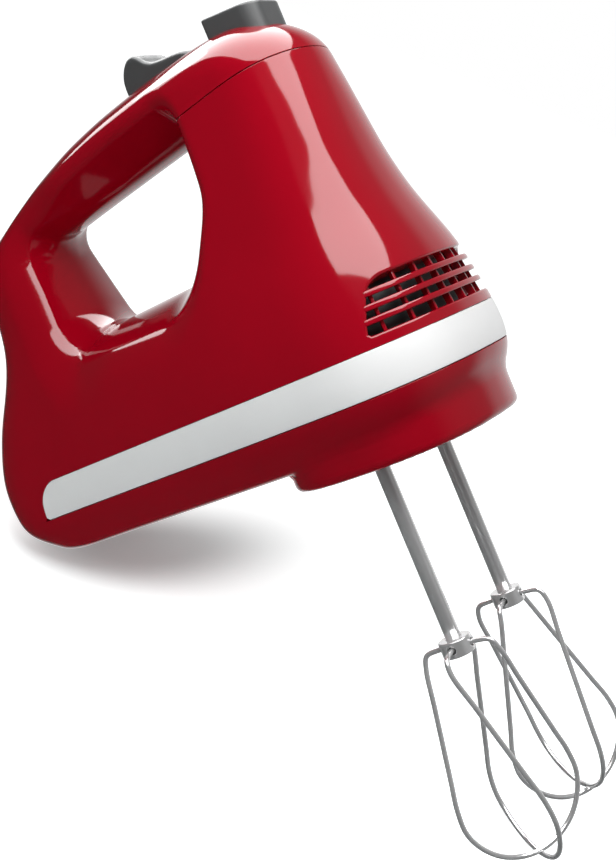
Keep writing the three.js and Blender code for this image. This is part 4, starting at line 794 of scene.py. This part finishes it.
RED = plastic("gloss_red", (0.31, 0.0004, 0.0088), (0.295, 0.0004, 0.0083), 0.08, grain=0.02,
              grain_scale=300)
PALE = plastic("band_grey", (0.83, 0.83, 0.83), (0.80, 0.80, 0.80), 0.32, grain=0.05)
CHARCOAL = plastic("charcoal", (0.060, 0.063, 0.064), (0.054, 0.057, 0.058), 0.38, grain=0.25,
                   grain_scale=1400)
BLACK = plastic("moulded_black", (0.012, 0.012, 0.013), (0.016, 0.016, 0.017), 0.5, grain=0.3)
NYLON = plastic("white_nylon", (0.76, 0.73, 0.66), (0.70, 0.67, 0.60), 0.45, grain=0.15)
BOARD = plastic("switch_board", (0.02, 0.10, 0.04), (0.03, 0.13, 0.05), 0.5, grain=0.2)
STEEL = metal("polished_steel", (0.84, 0.84, 0.84), (0.78, 0.78, 0.79), 0.16, metallic=0.69)
GROUND = metal("ground_steel", (0.55, 0.55, 0.56), (0.48, 0.48, 0.49), 0.3, grain=0.2,
               stretch=(0.05, 1, 1))
STACK = metal("laminated_steel", (0.22, 0.23, 0.24), (0.30, 0.31, 0.32), 0.5, grain=0.5,
              stretch=(4, 0.1, 0.1))
COPPER = metal("wound_copper", (0.55, 0.20, 0.09), (0.42, 0.15, 0.07), 0.35, grain=0.6,
               stretch=(0.2, 3, 3))
BRONZE = metal("sintered_bronze", (0.48, 0.31, 0.14), (0.40, 0.26, 0.12), 0.45, grain=0.4)

SLOT_MATERIALS = {
    "red_shell": RED, "trim": PALE, "control": CHARCOAL, "inner_black": BLACK, "nylon": NYLON, "board": BOARD,
    "shaft_steel": GROUND, "beater_steel": STEEL, "laminations": STACK, "copper": COPPER, "bronze": BRONZE,
}


# ---------------------------------------------------------------- assembling the object
SKIN_STEP = 1.5


def piece(name, parts, body, slot, replaces=()):
    """One shown piece from merged meshes, riding on a body and finished as a slot of the record."""
    points, faces, normals, start = [], [], [], 0
    for part in parts:
        points.append(part[0])
        faces.append(part[1] + start)
        start += len(part[0])
        normals.append(part[2] if len(part) > 2 else None)
    given = None if any(n is None for n in normals) else np.concatenate(normals)
    made = mesh_object(name, np.concatenate(points), np.concatenate(faces), given)
    paint(made, SLOT_MATERIALS[slot])
    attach(made, body)
    if replaces:
        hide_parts(*replaces)
    return made


def field_part(field, low, high, step):
    """The whole surface of a small field, with its normals."""
    points, triangles = skin(field, low, high, step)
    return points, triangles, outward(field, points)


def add_shells():
    low, high = (HEEL_X - 4, -HALF_WIDTH - 3, -2), (NOSE_X + 4, HALF_WIDTH + 3, TOP_Z + 3)
    whole = skin(body_field, low, high, SKIN_STEP)
    piece("cover_shell", [cover_panel(whole)], "housing", "red_shell", ["top_cover"])
    piece("housing_shell", [housing_panel(whole)], "housing", "red_shell", ["main_housing"])
    piece("base_shell", [base_panel(whole)], "housing", "red_shell", ["lower_base"])
    piece("band_skin", [band_panel(whole)], "housing", "trim", ["trim_band"])


def add_vent():
    piece("vent_slats", vent_parts(), "housing", "red_shell", ["vent_grille"])
    # A black sheet behind the slats: painted shade that darkens the inside of the vent.
    piece("vent_shade_sheet", [vent_sheet(-80, 80, 8.0)], "housing", "inner_black")


def track_floor(sides=96):
    """The flat bottom of the slider's track, a little wider than its mouth."""
    turns = np.linspace(0, 2 * math.pi, sides, endpoint=False)
    middle = SLIDER_REAR_X - SLIDER_TRAVEL / 2 + SLIDER_LENGTH / 2
    points = [[middle, 0, TRACK_FLOOR_Z]]
    for turn in turns:
        reach = 0.0
        while track_outline(middle + reach * math.cos(turn), reach * math.sin(turn)) < 0:
            reach += 0.2
        wide = reach + 0.4
        points.append([middle + wide * math.cos(turn), wide * math.sin(turn), TRACK_FLOOR_Z])
    faces = [[0, i + 1, (i + 1) % sides + 1] for i in range(sides)]
    return np.array(points), np.array(faces)


def add_controls():
    slider = field_part(slider_field(), (SLIDER_REAR_X - 1, -10.5, TRACK_FLOOR_Z - 0.5),
                        (SLIDER_REAR_X + SLIDER_LENGTH + 1, 10.5, SLIDER_TOP_Z + 1), 0.5)
    piece("slider_cap", [slider], "speed_control", "control", ["speed_slider"])
    ejector = field_part(ejector_field, (EJECTOR_REAR_X - 1, -14, EJECTOR_LOW_Z),
                         (EJECTOR_FRONT_X + 1, 14, 156), 0.6)
    piece("ejector_cap", [ejector], "ejector", "control", ["ejector_button"])
    piece("slider_track", [track_floor()], "housing", "red_shell")


def add_spring():
    """The ejector's return spring, a coil at rest length that fills the CAD spring's box; it is not made to
    shorten as the button is pressed.
    """
    low, high = (np.array(corner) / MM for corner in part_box("ejector_spring"))
    middle = (low + high) / 2
    coil = (high[1] - low[1]) / 2 - SPRING_WIRE_RADIUS
    angle = np.linspace(0, 2 * math.pi * SPRING_TURNS, 181)
    height = np.linspace(low[2] + SPRING_WIRE_RADIUS, high[2] - SPRING_WIRE_RADIUS, len(angle))
    path = np.stack([middle[0] + coil * np.cos(angle), middle[1] + coil * np.sin(angle), height], 1)
    wire = tube(path, SPRING_WIRE_RADIUS, 10)
    spring = piece("return_spring", [wire], "housing", "shaft_steel", ["ejector_spring"])
    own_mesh(spring)


def add_beater(side_name, side):
    """A shaft, a collar and two crossed wire loops, made on the Z axis and moved to their spindle."""
    body = f"{side_name}_beater"
    shift = np.array([0, side * SPINDLE_SPACING / 2, 0])

    def here(part):
        return (part[0] + shift, *part[1:])

    low = COLLAR_TOP_Z - COLLAR_HEIGHT - 0.6
    shaft = turned([[0, low], [SHAFT_RADIUS - 0.5, low], [SHAFT_RADIUS, low + 0.5],
                    [SHAFT_RADIUS, SHAFT_TOP_Z - 1], [SHAFT_RADIUS - 1, SHAFT_TOP_Z], [0, SHAFT_TOP_Z]])
    reach = COLLAR_RADIUS + 0.7
    collar = field_part(collar_field, (-reach, -reach, COLLAR_TOP_Z - COLLAR_HEIGHT - 0.7),
                        (reach, reach, COLLAR_TOP_Z + 0.7), 0.3)
    piece(f"shaft_{side_name}", [here(shaft)], body, "beater_steel", [f"beater_shaft_{side_name}"])
    piece(f"collar_{side_name}", [here(collar)], body, "beater_steel", [f"beater_collar_{side_name}"])
    for letter, start, drop in (("a", 0, 0), ("b", 90, LOOP_STAGGER)):
        wire = tube(loop_path(-side, start, drop), WIRE_RADIUS)
        node = f"beater_loop_{letter}_{side_name}"
        piece(f"wire_{letter}_{side_name}", [here(wire)], body, "beater_steel", [node])


def finish_cad_nodes():
    """Gives every CAD node the material of its slot."""
    slot_of = {row["node"]: row["material_slot"] for row in frame["record"]["subparts"]}
    for name, node in frame["nodes"].items():
        paint(node, SLOT_MATERIALS[slot_of[name]])


finish_cad_nodes()
add_shells()
add_vent()
add_controls()
add_spring()
add_beater("left", 1)
add_beater("right", -1)

# ---------------------------------------------------------------- camera
# Metres, millimetres of lens, and degrees.
CAMERA_PLACE = Vector((0.2146, -0.3532, 0.0406))
CAMERA_LENS, CAMERA_AZIMUTH, CAMERA_PITCH, CAMERA_ROLL = 52.23, 35.36, -3.19, -22.85
CAMERA_TURN = (Matrix.Rotation(math.radians(CAMERA_AZIMUTH), 3, "Z")
               @ Matrix.Rotation(math.radians(90 + CAMERA_PITCH), 3, "X")
               @ Matrix.Rotation(math.radians(CAMERA_ROLL), 3, "Z"))


def add_camera():
    data = bpy.data.cameras.new("camera")
    data.sensor_width, data.lens = 36, CAMERA_LENS
    data.clip_start, data.clip_end = 0.01, 20
    made = bpy.data.objects.new("camera", data)
    bpy.context.scene.collection.objects.link(made)
    made.matrix_world = Matrix.Translation(CAMERA_PLACE) @ CAMERA_TURN.to_4x4()
    bpy.context.scene.camera = made


# ---------------------------------------------------------------- floor, background and light
WORLD_LIGHT = 0.38
# The point in metres that the lamps are placed about.
MIDDLE = Vector((-0.03, -0.02, 0.08))
# White walls seen only in reflections: direction, degrees at its edge and where it is full, strength at both.
WALLS = (((160, 5), 56, 26, 0.05, 1.0), ((95, 8), 75, 25, 0.0, 0.2))

FLOOR_HALF_SIZE = 1.2
FLOOR_COLOUR = (0.82, 0.88, 0.88, 1)
# The floor's own glow to the camera, in the middle of the shadow and away from it: a painted shadow, low in
# the middle to darken the shadow there and high away from it to whiten out the rest of the shadow.
FLOOR_GLOW_AND_PAINTED_SHADOW = (0.2, 0.8)
# Where the painted shadow is darkest, and two directions across it, each as long as one over its reach.
PAINTED_SHADOW_MIDDLE = (-0.1374, 0.0114, -0.0042)
PAINTED_SHADOW_SPREAD = ((6.74, 7.53, -6.28), (15.2, -14.1, -15.5))


def studio_way(azimuth, elevation):
    """A direction in the photographer's studio: 0, 0 comes from the camera, 90, 0 from its right."""
    a, e = math.radians(azimuth), math.radians(elevation)
    return CAMERA_TURN @ Vector((math.sin(a) * math.cos(e), math.sin(e), math.cos(a) * math.cos(e)))


def shown_points(names):
    """Points of finished pieces, in metres."""
    found = [np.array([v.co for v in bpy.data.objects[n].data.vertices], float) for n in names]
    return np.concatenate(found)


def resting_plane():
    """The floor that the heel and the beater tips both touch: its unit normal and its distance."""
    heel = shown_points(["housing_shell", "base_shell"])
    tips = shown_points([f"wire_{letter}_{side}" for letter in "ab" for side in ("left", "right")])
    low, high = math.radians(20), math.radians(70)
    for _ in range(40):
        lean = (low + high) / 2
        normal = np.array([math.sin(lean), 0, math.cos(lean)])
        if (heel @ normal).min() > (tips @ normal).min():
            low = lean
        else:
            high = lean
    return Vector(normal), float(min((heel @ normal).min(), (tips @ normal).min()))


def mapped(nodes, links, source, near, far, low, high):
    """A smooth change from low to high as a value goes from near to far."""
    ramp = nodes.new("ShaderNodeMapRange")
    ramp.interpolation_type = "SMOOTHSTEP"
    for name, value in (("From Min", near), ("From Max", far), ("To Min", low), ("To Max", high)):
        ramp.inputs[name].default_value = value
    links.new(source, ramp.inputs["Value"])
    return ramp.outputs["Result"]


def add_world():
    """White to the camera, an even grey for soft light, and white walls in the object's reflections."""
    world = bpy.data.worlds.new("studio")
    bpy.context.scene.world = world
    world.use_nodes = True
    nodes, links = world.node_tree.nodes, world.node_tree.links
    nodes.clear()
    soft, mirrored, white = (nodes.new("ShaderNodeBackground") for _ in range(3))
    soft.inputs["Strength"].default_value = WORLD_LIGHT
    for light in (soft, mirrored, white):
        light.inputs["Color"].default_value = (1, 1, 1, 1)
    place, both, path = (nodes.new(k) for k in (
        "ShaderNodeTexCoord", "ShaderNodeMath", "ShaderNodeLightPath"))
    for i, (way, outer, inner, dark, bright) in enumerate(WALLS):
        wall = nodes.new("ShaderNodeVectorMath")
        wall.operation = "DOT_PRODUCT"
        wall.inputs[1].default_value = studio_way(*way)
        links.new(place.outputs["Generated"], wall.inputs[0])
        near, far = math.cos(math.radians(outer)), math.cos(math.radians(inner))
        strength = mapped(nodes, links, wall.outputs["Value"], near, far, dark, bright)
        links.new(strength, both.inputs[i])
    links.new(both.outputs[0], mirrored.inputs["Strength"])
    shown = soft.outputs[0]
    for ray, other in (("Is Glossy Ray", mirrored), ("Is Transmission Ray", white), ("Is Camera Ray", white)):
        mix = nodes.new("ShaderNodeMixShader")
        links.new(path.outputs[ray], mix.inputs[0])
        links.new(shown, mix.inputs[1])
        links.new(other.outputs[0], mix.inputs[2])
        shown = mix.outputs[0]
    links.new(shown, nodes.new("ShaderNodeOutputWorld").inputs["Surface"])


def floor_material():
    """A pale floor that keeps the object's shadow, deepened by a painted shadow where its glow is dimmed,
    fades to white around it and is open from below.
    """
    made = bpy.data.materials.new("pale_floor")
    made.use_nodes = True
    nodes, links = made.node_tree.nodes, made.node_tree.links
    nodes.clear()
    output, side, path = (nodes.new(k) for k in (
        "ShaderNodeOutputMaterial", "ShaderNodeNewGeometry", "ShaderNodeLightPath"))
    diffuse, glow, clear = (nodes.new(k) for k in (
        "ShaderNodeBsdfDiffuse", "ShaderNodeEmission", "ShaderNodeBsdfTransparent"))
    diffuse.inputs["Color"].default_value = FLOOR_COLOUR
    seen, across, length, middle = (nodes.new(k) for k in (
        "ShaderNodeMath", "ShaderNodeCombineXYZ", "ShaderNodeVectorMath", "ShaderNodeVectorMath"))
    seen.operation, length.operation, middle.operation = "MULTIPLY", "LENGTH", "SUBTRACT"
    middle.inputs[1].default_value = PAINTED_SHADOW_MIDDLE
    links.new(side.outputs["Position"], middle.inputs[0])
    for i, way in enumerate(PAINTED_SHADOW_SPREAD):
        along = nodes.new("ShaderNodeVectorMath")
        along.operation = "DOT_PRODUCT"
        along.inputs[1].default_value = way
        links.new(middle.outputs["Vector"], along.inputs[0])
        links.new(along.outputs["Value"], across.inputs[i])
    links.new(across.outputs["Vector"], length.inputs[0])
    # The glow is low towards the shadow's middle and high away from it: painted shadow on the floor.
    links.new(mapped(nodes, links, length.outputs["Value"], 0.2, 1.0, *FLOOR_GLOW_AND_PAINTED_SHADOW), seen.inputs[0])
    links.new(path.outputs["Is Camera Ray"], seen.inputs[1])
    links.new(seen.outputs[0], glow.inputs["Strength"])
    both, mix = nodes.new("ShaderNodeAddShader"), nodes.new("ShaderNodeMixShader")
    links.new(diffuse.outputs[0], both.inputs[0])
    links.new(glow.outputs[0], both.inputs[1])
    links.new(side.outputs["Backfacing"], mix.inputs[0])
    links.new(both.outputs[0], mix.inputs[1])
    links.new(clear.outputs[0], mix.inputs[2])
    links.new(mix.outputs[0], output.inputs["Surface"])
    return made


def add_floor():
    normal, distance = resting_plane()
    half = FLOOR_HALF_SIZE
    mesh = bpy.data.meshes.new("floor")
    corners = [(-half, -half, 0), (half, -half, 0), (half, half, 0), (-half, half, 0)]
    mesh.from_pydata(corners, [], [(0, 1, 2, 3)])
    floor = bpy.data.objects.new("floor", mesh)
    bpy.context.scene.collection.objects.link(floor)
    floor.rotation_mode = "QUATERNION"
    floor.rotation_quaternion = normal.to_track_quat("Z", "Y")
    floor.location = normal * distance
    floor.data.materials.append(floor_material())
    floor.visible_glossy = False


def add_lamp(name, place, facing, size, brightness, roll=0, shape="ELLIPSE", lights=False):
    """A soft lamp so many times as bright as white, placed in metres about MIDDLE along the camera's axes.

    Its light comes from the studio direction facing, and roll turns it about that direction. It either
    lights the object or is only seen in its reflections.
    """
    data = bpy.data.lights.new(name, "AREA")
    data.shape = shape
    data.size, data.size_y = size
    area = size[0] * size[1] * (math.pi / 4 if shape == "ELLIPSE" else 1)
    data.energy = brightness * math.pi * area
    lamp = bpy.data.objects.new(name, data)
    bpy.context.scene.collection.objects.link(lamp)
    out = studio_way(*facing)
    right = CAMERA_TURN @ Vector((1, 0, 0))
    right = (right - out * right.dot(out)).normalized()
    turned = Matrix((right, out.cross(right), out)).transposed() @ Matrix.Rotation(math.radians(roll), 3, "Z")
    lamp.matrix_world = Matrix.Translation(MIDDLE + CAMERA_TURN @ Vector(place)) @ turned.to_4x4()
    lamp.visible_diffuse, lamp.visible_glossy = lights, not lights


add_camera()
add_world()
add_floor()
add_lamp("overhead_panel", place=(-0.325, 0.785, -0.041), facing=(57, 77.9), size=(1.208, 2.206),
         brightness=7.0, roll=26.8, shape="RECTANGLE")
add_lamp("rear_panel", place=(-0.546, 0.493, -0.315), facing=(-120, 38), size=(0.35, 0.35), brightness=5.0)
add_lamp("key", place=(0.055, 0.19, 0.27), facing=(5, 35), size=(0.24, 0.24), brightness=8.6, lights=True)

bpy.context.scene.view_settings.view_transform = "Standard"
